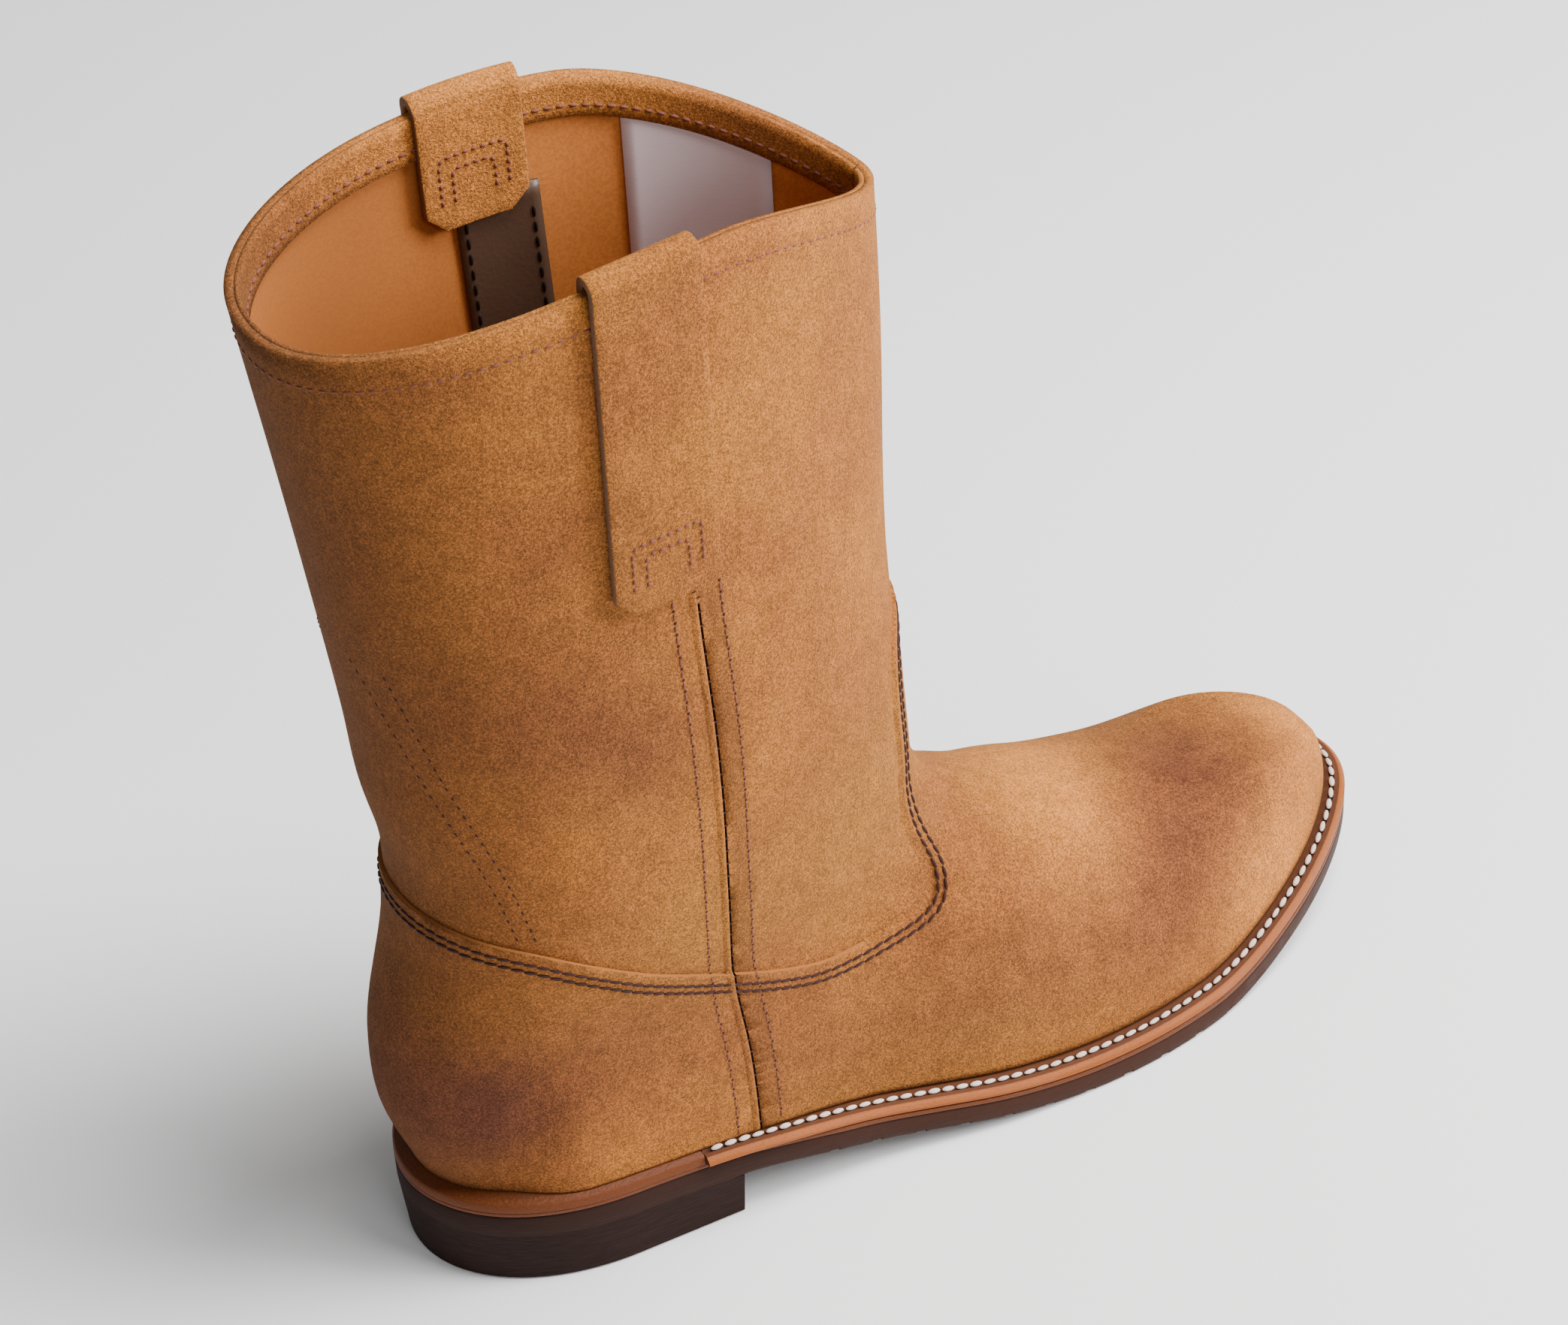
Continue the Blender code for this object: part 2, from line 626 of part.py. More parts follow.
def build_upper(parts, cutters):
    """Suede upper: one hollow wall, with the vamp and counter lapped over the shaft as a step."""
    suede = leather_material("suede", (0.38, 0.21, 0.10), 0.9)
    levels = row_levels()
    upper = mesh_object("upper", open_skin(upper_rows(levels, UPPER_STATIONS)), parts, suede)
    add_solidify(upper, WALL, 0.0)

    overlay_levels = levels[levels < 5.1]
    overlay_levels[0] = 0.015
    overlay = mesh_object("vamp_and_counter", open_skin(upper_rows(overlay_levels, UPPER_STATIONS)), cutters)
    add_solidify(overlay, OVERLAY_STEP + OVERLAY_ROOT, OVERLAY_STEP)

    join = LAST_BACK + 0.407 * LAST_LENGTH
    low = -HEEL_SEAT
    wide = 2 * BALL_WIDTH
    xs = np.linspace(LAST_BACK - 0.1 * LAST_LENGTH, join + 0.0005, 22)
    side_outline = [(x, -wide, float(vamp_edge_height(x))) for x in xs]
    side_outline += [(xs[-1], -wide, low), (xs[0], -wide, low)]
    pattern = prism("vamp_side_pattern", side_outline, (0, 2 * wide, 0), cutters)

    half = TONGUE_WIDTH / 2
    edge = [(share * half, HEEL_SEAT + height * TONGUE_HEIGHT) for share, height in TONGUE_EDGE]
    edge = [(wide, edge[0][1])] + edge[1:]
    front_outline = [(join, -y, z) for y, z in edge] + [(join, y, z) for y, z in edge[-2::-1]]
    front_outline += [(join, wide, low), (join, -wide, low)]
    front = prism("vamp_front_pattern", front_outline, (LAST_LENGTH, 0, 0), cutters)
    add_boolean(pattern, "UNION", front)
    add_boolean(overlay, "INTERSECT", pattern)
    add_boolean(upper, "UNION", as_cutter(overlay))
    for side, name in ((-1, "outer_side_seam"), (1, "inner_side_seam")):
        add_boolean(upper, "DIFFERENCE", build_seam_groove(name, side, cutters))


def build_seam_groove(name, side, cutters):
    """Cutter for the narrow groove where the back and front panels of the shaft meet."""
    place = smooth(SIDE_SEAM)
    strap_end = HEEL_SEAT + SHAFT_BACK_HEIGHT - STRAP_DROP + STRAP_CHAMFER
    heights = np.linspace(HEEL_SEAT - 0.006, strap_end, 24)
    sections = []
    for z in heights:
        x = LAST_BACK + SHAFT_LENGTH * float(place((z - HEEL_SEAT) / SHAFT_BACK_HEIGHT))
        y = float(swing(x) + side * side_reach(np.array(x), np.array(z), side))
        step = OVERLAY_STEP if z < vamp_edge_height(x) else 0.0
        deep = y + side * (step - SEAM_DEPTH)
        clear = y + side * (step + 0.004)
        sections.append([(x - SEAM_WIDTH / 2, deep, z), (x + SEAM_WIDTH / 2, deep, z),
                         (x + SEAM_WIDTH / 2, clear, z), (x - SEAM_WIDTH / 2, clear, z)])
    return as_cutter(mesh_object(name, loft(sections), cutters))


def rim_at(x):
    """Height of the collar's rim at an x, and the scallop's share of it."""
    back_z = HEEL_SEAT + SHAFT_BACK_HEIGHT
    front_z = HEEL_SEAT + SHAFT_FRONT_HEIGHT
    back_x = float(shaft_edges(back_z)[0])
    front_x = float(shaft_edges(front_z)[1])
    station = (x - back_x) / (front_x - back_x)
    rise = float(rim_rise(station))
    return back_z + station * (front_z - back_z) + rise, rise


def build_strap(name, side, parts):
    """Pull strap folded over the collar: a long outer leg and a short inner one, ends chamfered."""
    middle = LAST_BACK + SHAFT_LENGTH * STRAP_PLACE
    across = np.linspace(-1, 1, 6)
    outer_rows, arc_rows, inner_rows = 10, 7, 4
    top_z, _ = rim_at(middle)
    scallop_foot = HEEL_SEAT + SHAFT_BACK_HEIGHT * ROWS_AT_BACK[6]

    def wall_y(x, z):
        rim, rise = rim_at(x)
        lift = rise * np.clip((z - scallop_foot) / (rim - scallop_foot), 0, 1) ** 1.5
        return side * float(side_reach(np.array(x), np.array(z - lift), side))

    def half_width(along, length):
        return STRAP_WIDTH / 2 - max(0.0, STRAP_CHAMFER - along * length)

    def legs(drop, rows):
        steps = [0.0, STRAP_CHAMFER / drop] + list(np.linspace(STRAP_CHAMFER / drop, 1, rows))[1:]
        return [(t, half_width(t, drop)) for t in steps]

    sections = []
    for t, half in legs(STRAP_DROP, outer_rows):
        xs = middle + across * half
        zs = [rim_at(x)[0] - (1 - t) * STRAP_DROP for x in xs]
        sections.append([(x, wall_y(x, z) + side * STRAP_GAP, z) for x, z in zip(xs, zs)])
    xs = middle + across * STRAP_WIDTH / 2
    for k in range(1, arc_rows):
        angle = math.pi * k / arc_rows
        radius = WALL / 2 + STRAP_GAP
        row = []
        for x in xs:
            z = rim_at(x)[0]
            centre = wall_y(x, z) - side * WALL / 2
            row.append((x, centre + side * radius * math.cos(angle), z + radius * math.sin(angle)))
        sections.append(row)
    for t, half in legs(STRAP_INSIDE, inner_rows)[::-1]:
        xs = middle + across * half
        zs = [rim_at(x)[0] - (1 - t) * STRAP_INSIDE for x in xs]
        sections.append([(x, wall_y(x, z) - side * (WALL + STRAP_GAP), z) for x, z in zip(xs, zs)])

    bm = loft(sections, closed=False, capped=False)
    bm.normal_update()
    lowest = min(bm.faces, key=lambda f: f.calc_center_median().z)
    if lowest.normal.y * side < 0:
        bmesh.ops.reverse_faces(bm, faces=bm.faces)
    strap = mesh_object(name, bm, parts, leather_material(name + "_suede", (0.36, 0.20, 0.10), 0.9))
    add_solidify(strap, STRAP_THICKNESS, STRAP_THICKNESS)


for old in list(bpy.data.objects):
    bpy.data.objects.remove(old, do_unlink=True)
boot = new_collection("western_work_boot")
helpers = new_collection("cutters")
build_outsole(boot, helpers)
build_heel(boot)
build_midsole(boot, helpers)
build_welt(boot)
build_insole(boot)
build_upper(boot, helpers)
build_strap("pull_strap_lateral", -1, boot)
build_strap("pull_strap_medial", 1, boot)
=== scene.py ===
"""Looks of the western work boot: a right boot in tan roughout suede on a welted sole."""
import math

import bmesh
import bpy
import numpy as np
from mathutils import Matrix, Vector


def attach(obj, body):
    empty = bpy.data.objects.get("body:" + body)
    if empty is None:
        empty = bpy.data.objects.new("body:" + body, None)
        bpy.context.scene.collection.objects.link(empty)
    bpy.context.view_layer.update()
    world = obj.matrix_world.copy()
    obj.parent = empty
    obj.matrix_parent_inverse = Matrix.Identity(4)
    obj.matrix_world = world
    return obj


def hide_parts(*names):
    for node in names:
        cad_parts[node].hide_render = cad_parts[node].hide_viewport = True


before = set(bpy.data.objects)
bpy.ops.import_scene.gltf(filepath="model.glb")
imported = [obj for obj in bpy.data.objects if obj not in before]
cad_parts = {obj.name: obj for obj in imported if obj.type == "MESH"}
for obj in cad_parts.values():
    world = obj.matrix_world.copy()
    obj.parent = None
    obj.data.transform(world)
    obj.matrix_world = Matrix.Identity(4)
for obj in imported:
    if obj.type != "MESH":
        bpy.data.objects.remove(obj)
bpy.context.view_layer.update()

# The last: the wooden foot form over which the leather is pulled. Every leather piece and every
# layer of the sole takes its shape from it, in the same sizes as the frame.
# Plan of the last, measured at the feather line where the upper meets the welt
LAST_LENGTH = 0.2876
BALL_WIDTH = 0.0876
WAIST_WIDTH = 0.0586
HEEL_WIDTH = 0.0634
TOE_SWING = 0.0147
TOE_ROUND = 0.35
HEEL_ROUND = 0.155
TOE_FULLNESS = 1.95
HEEL_FULLNESS = 2.07

# Sole, from the floor up
HEEL_HEIGHT = 0.0174
HEEL_PITCH = 0.0025
WAIST_LIFT = 0.0056
TOE_SPRING = 0.0177
FOREFOOT_PRESS = 0.0002
OUTSOLE_THICKNESS = 0.0066
MIDSOLE_THICKNESS = 0.0014
WELT_THICKNESS = 0.0024
INSOLE_THICKNESS = 0.0026
INSOLE_CLEARANCE = 0.0016
WELT_EDGE = 0.0071
HEEL_EDGE = 0.0051
HEEL_LENGTH = 0.0778
HEEL_SET_IN = 0.0033
HEEL_TAPER = 0.0014
HEEL_CHAMFER = 0.0006
WELT_END = 0.0640
WELT_SEAT = 0.0026
WELT_ROUNDING = 0.0009
SOLE_BEVEL = 0.0007
TREAD_PITCH = 0.0125
TREAD_WIDTH = 0.0030
TREAD_DEPTH = 0.0012
GAP = 0.0003

# Foot part of the upper: rises above the feather line
UNDER_LEG_RISE = 0.0870
INSTEP_RISE = 0.0760
BALL_RISE = 0.0556
TOE_BOX_RISE = 0.0400
TOE_TIP_RISE = 0.0280
TOE_CLOSING = 0.144
SIDE_FULLNESS = 2.10
ROOF_FULLNESS = 2.21

# Shaft, measured from the heel seat
SHAFT_BACK_HEIGHT = 0.2586
SHAFT_FRONT_HEIGHT = 0.2490
SHAFT_LENGTH = 0.1456
SHAFT_WIDTH = 0.0934
SIDE_RISE = 0.0186
BACK_FULLNESS = 2.13
FRONT_FULLNESS = 1.68
WIDEST_SHARE = 0.40
THROAT_BLEND = 0.52

# Leather
WALL = 0.0022
OVERLAY_STEP = 0.0010
OVERLAY_ROOT = 0.0015
VAMP_BACK_HEIGHT = 0.0903
TONGUE_HEIGHT = 0.1300
TONGUE_WIDTH = 0.0380
SEAM_WIDTH = 0.0014
SEAM_FOLD = 0.0026
SEAM_DEPTH = 0.0009
STRAP_WIDTH = 0.0270
STRAP_THICKNESS = 0.0024
STRAP_DROP = 0.0860
STRAP_INSIDE = 0.0310
STRAP_CHAMFER = 0.0050
STRAP_GAP = 0.0004
STRAP_PLACE = 0.425

STACK = WELT_THICKNESS + MIDSOLE_THICKNESS + OUTSOLE_THICKNESS + 3 * GAP
HEEL_SEAT = HEEL_HEIGHT + STACK
LAST_BACK = HEEL_SET_IN - HEEL_LENGTH / 2
LAST_TIP = LAST_BACK + LAST_LENGTH
BREAST = HEEL_LENGTH / 2

# Half widths of the last: share of length, then how much of each width the outer side takes,
# then how much of each width the inner side takes
PLAN = (
    # share, heel, waist, ball | heel, waist, ball
    (0.00, 0.49, 0.00, 0.000, 0.49, 0.00, 0.000),
    (0.14, 0.50, 0.00, 0.000, 0.50, 0.00, 0.000),
    (0.28, 0.30, 0.23, 0.000, 0.27, 0.20, 0.000),
    (0.41, 0.00, 0.565, 0.000, 0.00, 0.435, 0.000),
    (0.53, 0.00, 0.23, 0.296, 0.00, 0.22, 0.253),
    (0.64, 0.00, 0.00, 0.484, 0.00, 0.00, 0.481),
    (0.75, 0.00, 0.00, 0.494, 0.00, 0.00, 0.506),
    (0.86, 0.00, 0.00, 0.484, 0.00, 0.00, 0.506),
    (1.00, 0.00, 0.00, 0.469, 0.00, 0.00, 0.491),
)

# Underside of the sole above the floor: share of length, height
UNDERSIDE = (
    (0.00, HEEL_HEIGHT),
    (0.25, HEEL_HEIGHT - HEEL_PITCH),
    (0.45, WAIST_LIFT),
    (0.64, -FOREFOOT_PRESS),
    (0.76, -FOREFOOT_PRESS),
    (0.90, 0.46 * TOE_SPRING),
    (1.00, TOE_SPRING),
)

# Roof of the foot part above the feather line: share of length, rise
ROOF = (
    (0.15, UNDER_LEG_RISE),
    (0.30, UNDER_LEG_RISE),
    (0.42, 0.5 * (UNDER_LEG_RISE + INSTEP_RISE) + 0.05 * INSTEP_RISE),
    (0.54, INSTEP_RISE),
    (0.70, BALL_RISE),
    (0.893, TOE_BOX_RISE),
    (1.00, TOE_TIP_RISE),
)

# Side view and width of the shaft: height above the seat as a share of the back height,
# back and front edge as shares of the shaft's length from the last's back, half width share
SHAFT = (
    # height, back, front, half width
    (0.000, 0.000, 0.997, 0.340),
    (0.085, -0.044, 0.999, 0.352),
    (0.155, -0.044, 1.000, 0.366),
    (0.298, 0.019, 0.997, 0.430),
    (0.400, 0.018, 0.988, 0.456),
    (0.580, -0.011, 0.973, 0.475),
    (0.830, -0.057, 0.979, 0.492),
    (1.070, -0.106, 0.973, 0.502),
)

# Rows that run round the upper: where each starts at the back, as a share of the back height,
# and where it ends at the front, on the roof as a share of length or above it as a share of height
ROWS_AT_BACK = (0.0, 0.054, 0.124, 0.224, 0.313, 0.468, 0.720, 1.0)
ROWS_ON_ROOF = (0.893, 0.70, 0.54)
ROWS_ON_SHIN = (0.438, 0.566, 0.787, 1.0)

# Top edge of the vamp and counter in side view: share of length, share of the height at the back
VAMP_EDGE = (
    (-0.100, 1.000),
    (0.012, 1.000),
    (0.048, 0.968),
    (0.086, 0.930),
    (0.131, 0.856),
    (0.195, 0.733),
    (0.259, 0.619),
    (0.312, 0.527),
    (0.362, 0.466),
    (0.412, 0.457),
)

# Front of the vamp and its tongue seen from ahead: share of the tongue's half width and height
TONGUE_EDGE = (
    (2.200, 0.317),
    (1.600, 0.317),
    (1.500, 0.325),
    (1.420, 0.345),
    (1.330, 0.375),
    (1.220, 0.420),
    (1.120, 0.490),
    (1.040, 0.580),
    (1.000, 0.680),
    (1.000, 0.860),
    (0.930, 0.925),
    (0.740, 0.970),
    (0.420, 0.996),
    (0.000, 1.000),
)

# Side seam: share of the back height above the seat, share of the shaft's length
SIDE_SEAM = ((-0.06, 0.560), (0.106, 0.546), (0.215, 0.520), (0.485, 0.502), (0.700, 0.478), (1.1, 0.455))


def smooth(table, column=1):
    """Cubic curve through a table, with the tangents of its neighbours."""
    xs = np.array([row[0] for row in table])
    ys = np.array([row[column] for row in table])
    slopes = np.gradient(ys, xs)

    def curve(x):
        x = np.clip(x, xs[0], xs[-1])
        i = np.clip(np.searchsorted(xs, x) - 1, 0, len(xs) - 2)
        span = xs[i + 1] - xs[i]
        t = (x - xs[i]) / span
        return ((1 + 2 * t) * (1 - t) ** 2 * ys[i] + t * (1 - t) ** 2 * span * slopes[i]
                + t * t * (3 - 2 * t) * ys[i + 1] + t * t * (t - 1) * span * slopes[i + 1])
    return curve


def steady(table):
    """Cubic curve through a table that never overshoots its points."""
    xs = np.array([row[0] for row in table])
    ys = np.array([row[1] for row in table])
    chords = np.diff(ys) / np.diff(xs)
    slopes = np.concatenate([chords[:1], (chords[1:] + chords[:-1]) / 2, chords[-1:]])
    for i, chord in enumerate(chords):
        if abs(chord) < 1e-12:
            slopes[i] = slopes[i + 1] = 0.0
            continue
        a, b = slopes[i] / chord, slopes[i + 1] / chord
        if a < 0 or b < 0:
            slopes[i] = 0.0 if a < 0 else slopes[i]
            slopes[i + 1] = 0.0 if b < 0 else slopes[i + 1]
        elif math.hypot(a, b) > 3:
            slopes[i] = 3 * a / math.hypot(a, b) * chord
            slopes[i + 1] = 3 * b / math.hypot(a, b) * chord

    def curve(x):
        x = np.clip(x, xs[0], xs[-1])
        i = np.clip(np.searchsorted(xs, x) - 1, 0, len(xs) - 2)
        span = xs[i + 1] - xs[i]
        t = (x - xs[i]) / span
        return ((1 + 2 * t) * (1 - t) ** 2 * ys[i] + t * (1 - t) ** 2 * span * slopes[i]
                + t * t * (3 - 2 * t) * ys[i + 1] + t * t * (t - 1) * span * slopes[i + 1])
    return curve


def rounding(share, fullness):
    """Rises from 0 to 1 like the quarter of a rounded end."""
    share = np.clip(share, 0.0, 1.0)
    return (1 - (1 - share) ** fullness) ** (1 / fullness)


underside = steady(UNDERSIDE)
outer_plan = smooth([(r[0], r[1] * HEEL_WIDTH + r[2] * WAIST_WIDTH + r[3] * BALL_WIDTH) for r in PLAN])
inner_plan = smooth([(r[0], r[4] * HEEL_WIDTH + r[5] * WAIST_WIDTH + r[6] * BALL_WIDTH) for r in PLAN])
roof = smooth(ROOF)
shaft_back = smooth(SHAFT, 1)
shaft_front = smooth(SHAFT, 2)
shaft_half_width = smooth(SHAFT, 3)


def share_of(x):
    """Share of the last's length at an x."""
    return np.clip((x - LAST_BACK) / LAST_LENGTH, 0.0, 1.0)


def swing(x):
    """How far the last's centre line turns inwards at an x."""
    return TOE_SWING * np.clip((share_of(x) - 0.42) / 0.58, 0.0, 1.0) ** 1.5


def feather(x):
    """Height of the feather line, where the upper meets the sole."""
    return underside(share_of(x)) + STACK


def plan_edge(share, outset):
    """Points of the outer and inner edge of a layer, set out square to the feather line."""
    def edge(s):
        closing = rounding(s / HEEL_ROUND, HEEL_FULLNESS) * rounding((1 - s) / TOE_ROUND, TOE_FULLNESS)
        x = LAST_BACK + s * LAST_LENGTH
        return (np.stack([x, swing(x) - outer_plan(s) * closing], -1),
                np.stack([x, swing(x) + inner_plan(s) * closing], -1))

    edges = edge(share)
    before = edge(np.clip(share - 1e-4, 0, 1))
    after = edge(np.clip(share + 1e-4, 0, 1))
    moved = []
    for side, (here, back, front) in zip((-1, 1), zip(edges, before, after)):
        along = front - back
        normal = side * np.stack([-along[..., 1], along[..., 0]], -1)
        normal /= np.linalg.norm(normal, axis=-1, keepdims=True)
        normal[share <= 0] = (-1, 0)
        normal[share >= 1] = (1, 0)
        moved.append(here + normal * outset)
    return moved


def foot_field(x, y, z):
    """Negative inside the foot part of the form, 0 on its surface."""
    share = share_of(x)
    closing = np.maximum(rounding((1 - share) / TOE_ROUND, TOE_FULLNESS), 1e-4)
    across = y - swing(x)
    half = np.where(across < 0, outer_plan(share), inner_plan(share)) * closing
    floor = feather(x)
    height = np.maximum(roof(share) * rounding((1 - share) / TOE_CLOSING, 2.3), 1e-6)
    side = (np.abs(across) / half) ** SIDE_FULLNESS
    top = np.maximum((z - floor) / height, 0) ** ROOF_FULLNESS
    behind = np.maximum((LAST_BACK + 0.12 * LAST_LENGTH - x) / (0.07 * LAST_LENGTH), 0) ** 2
    return side + top - 1 + behind + np.maximum((x - LAST_TIP) / (0.017 * LAST_LENGTH), 0)


def shaft_edges(z):
    """Back x, front x and half width of the shaft at a height."""
    level = (z - HEEL_SEAT) / SHAFT_BACK_HEIGHT
    return (LAST_BACK + SHAFT_LENGTH * shaft_back(level), LAST_BACK + SHAFT_LENGTH * shaft_front(level),
            SHAFT_WIDTH * shaft_half_width(level))


def shaft_field(x, y, z):
    """Negative inside the shaft part of the form, 0 on its surface."""
    back, front, half = shaft_edges(z)
    widest = back + WIDEST_SHARE * (front - back)
    along = np.where(x < widest, (widest - x) / (widest - back), (x - widest) / (front - widest))
    pointed = 2 + (FRONT_FULLNESS - 2) * np.clip((z - HEEL_SEAT) / SHAFT_BACK_HEIGHT / 0.46 - 0.25, 0, 1)
    fullness = np.where(x < widest, BACK_FULLNESS, pointed)
    return along ** 2.2 + (np.abs(y) / half) ** fullness - 1


def form(x, y, z):
    """Foot and shaft run into each other over a soft throat."""
    foot = foot_field(x, y, z)
    shaft = shaft_field(x, y, z)
    mix = np.clip(0.5 + 0.5 * (shaft - foot) / THROAT_BLEND, 0, 1)
    return shaft * (1 - mix) + foot * mix - THROAT_BLEND * mix * (1 - mix)


def reach(field, low, high):
    """Distance at which a field changes from inside to outside, by halving."""
    low = np.array(low, float)
    high = np.array(high, float)
    for _ in range(26):
        middle = 0.5 * (low + high)
        inside = field(middle) < 0
        low = np.where(inside, middle, low)
        high = np.where(inside, high, middle)
    return 0.5 * (low + high)


def side_reach(x, z, side):
    """Distance from the centre line to the form's surface on one side (-1 outer, 1 inner)."""
    start = swing(x)
    return reach(lambda d: form(x, start + side * d, z), 0 * x, 0 * x + 0.86 * SHAFT_WIDTH)


def front_profile():
    """Centre line of the form from the toe's feather point up to the collar."""
    hub = np.array([LAST_BACK + 0.33 * LAST_LENGTH, HEEL_SEAT + 0.16 * SHAFT_BACK_HEIGHT])
    start = math.atan2(feather(LAST_TIP) - hub[1], LAST_TIP - hub[0])
    angles = np.linspace(start, math.radians(88), 400)

    def along_ray(r):
        x = hub[0] + r * np.cos(angles)
        return form(x, swing(x), hub[1] + r * np.sin(angles))

    r = reach(along_ray, 0 * angles + 0.02 * LAST_LENGTH, 0 * angles + 1.15 * LAST_LENGTH)
    x = hub[0] + r * np.cos(angles)
    z = hub[1] + r * np.sin(angles)
    keep = z <= HEEL_SEAT + SHAFT_FRONT_HEIGHT + 0.001
    x, z = x[keep], z[keep]
    x[0], z[0] = LAST_TIP, feather(LAST_TIP)
    length = np.concatenate([[0], np.cumsum(np.hypot(np.diff(x), np.diff(z)))])
    return x, z, length


def rim_rise(station):
    """Scallop of the collar: how much the rim stands up at a station from back to front."""
    peak = 0.276
    across = 2 * station - 1 - peak
    reach_to_end = np.where(across < 0, 1 + peak, 1 - peak)
    return SIDE_RISE * (1 - np.abs(across / reach_to_end) ** 1.62)


def upper_rows(level, stations):
    """Closed rows of points round the form at the given levels."""
    x, z, length = front_profile()
    knots = [0.0]
    knots += [length[np.argmax(x <= LAST_BACK + s * LAST_LENGTH)] for s in ROWS_ON_ROOF]
    knots += [np.interp(HEEL_SEAT + s * SHAFT_FRONT_HEIGHT, z, length) for s in ROWS_ON_SHIN]
    at_front = steady(list(enumerate(knots)))(level)
    front_x = np.interp(at_front, length, x)
    front_z = np.interp(at_front, length, z)
    back_z = HEEL_SEAT + SHAFT_BACK_HEIGHT * steady(list(enumerate(ROWS_AT_BACK)))(level)
    back_x = shaft_edges(back_z)[0]
    station = (1 - np.cos(np.pi * np.arange(stations) / (stations - 1))) / 2
    grid_x = back_x[:, None] + station * (front_x - back_x)[:, None]
    straight_z = back_z[:, None] + station * (front_z - back_z)[:, None]
    low = np.clip(level, 0, 1)[:, None]
    rise = (back_z[:, None] - HEEL_SEAT) * (1 - station) + (front_z[:, None] - feather(LAST_TIP)) * station
    grid_z = low * straight_z + (1 - low) * (feather(grid_x) + rise)
    lift = rim_rise(station) * np.clip((level - 5) / 2, 0, 1)[:, None] ** 1.5
    sides = []
    for side in (-1, 1):
        width = side_reach(grid_x, grid_z, side)
        width[:, 0] = width[:, -1] = 0
        sides.append(np.stack([grid_x, swing(grid_x) + side * width, grid_z + lift], -1))
    return np.concatenate([sides[0], sides[1][:, -2:0:-1]], 1)


def vamp_edge_height(x):
    """Height of the vamp's top edge in side view."""
    share = (x - LAST_BACK) / LAST_LENGTH
    return HEEL_SEAT + VAMP_BACK_HEIGHT * smooth(VAMP_EDGE)(share)


def rim_at(x):
    """Height of the collar's rim at an x, and the scallop's part of it."""
    back_z = HEEL_SEAT + SHAFT_BACK_HEIGHT
    front_z = HEEL_SEAT + SHAFT_FRONT_HEIGHT
    back_x = shaft_edges(back_z)[0]
    front_x = shaft_edges(front_z)[1]
    station = np.clip((x - back_x) / (front_x - back_x), 0, 1)
    rise = rim_rise(station)
    return back_z + station * (front_z - back_z) + rise, rise


def wall(x, z, side, out=0.0):
    """Points on the boot's side and their normals; out lifts them off the form along the normal."""
    x = np.asarray(x, float)
    z = np.asarray(z, float)
    rim, rise = rim_at(x)
    foot = HEEL_SEAT + SHAFT_BACK_HEIGHT * ROWS_AT_BACK[6]
    level_z = z - rise * np.clip((z - foot) / (rim - foot), 0, 1) ** 1.5
    y = swing(x) + side * side_reach(x, level_z, side)
    return settle(np.stack([x, y, level_z], -1), out, z - level_z)


def settle(points, out, lift=0.0):
    """Moves points out along the form's normal, adds the creases, and returns points and normals."""
    step = 1e-4
    x, y, z = points[..., 0], points[..., 1], points[..., 2]
    normal = np.stack([form(x + step, y, z) - form(x - step, y, z),
                       form(x, y + step, z) - form(x, y - step, z),
                       form(x, y, z + step) - form(x, y, z - step)], -1)
    normal /= np.linalg.norm(normal, axis=-1, keepdims=True) + 1e-12
    placed = points + normal * out
    placed[..., 2] += lift
    placed = placed + normal * crease(placed)[..., None]
    return placed, normal


# Creases of the leather: soft troughs and ridges where a foot has flexed it and where the shaft
# sags on itself. Each has its middle, its half lengths along X, Y and Z, and its height.
CREASES = (
    # x, y, z | along x, y, z | height
    ((0.108, -0.030, 0.052), (0.020, 0.020, 0.007), -0.0008),
    ((0.120, -0.026, 0.060), (0.018, 0.020, 0.006), 0.0006),
    ((0.132, 0.010, 0.072), (0.009, 0.040, 0.012), -0.0008),
    ((0.150, 0.006, 0.066), (0.010, 0.040, 0.012), 0.0005),
    ((-0.030, 0.000, 0.128), (0.022, 0.050, 0.012), -0.0012),
    ((-0.034, 0.004, 0.150), (0.020, 0.050, 0.014), 0.0010),
    ((0.010, -0.040, 0.150), (0.030, 0.030, 0.016), -0.0010),
    ((0.070, -0.034, 0.128), (0.026, 0.030, 0.014), -0.0012),
    ((0.060, -0.040, 0.170), (0.030, 0.030, 0.020), 0.0008),
    ((-0.010, -0.042, 0.235), (0.022, 0.030, 0.040), -0.0009),
    ((0.075, -0.038, 0.240), (0.018, 0.030, 0.040), -0.0010),
    ((0.030, 0.042, 0.160), (0.040, 0.030, 0.020), -0.0012),
    ((0.080, 0.034, 0.140), (0.030, 0.030, 0.016), 0.0008),
    ((-0.010, 0.040, 0.240), (0.026, 0.030, 0.036), -0.0010),
    ((0.066, 0.040, 0.225), (0.024, 0.030, 0.040), 0.0008),
)


def crease(points):
    """Sum of the soft dents and swells at some points."""
    total = np.zeros(points.shape[:-1])
    for middle, spread, height in CREASES:
        away = ((points - np.array(middle)) / np.array(spread)) ** 2
        total += height * np.exp(-away.sum(-1))
    return total


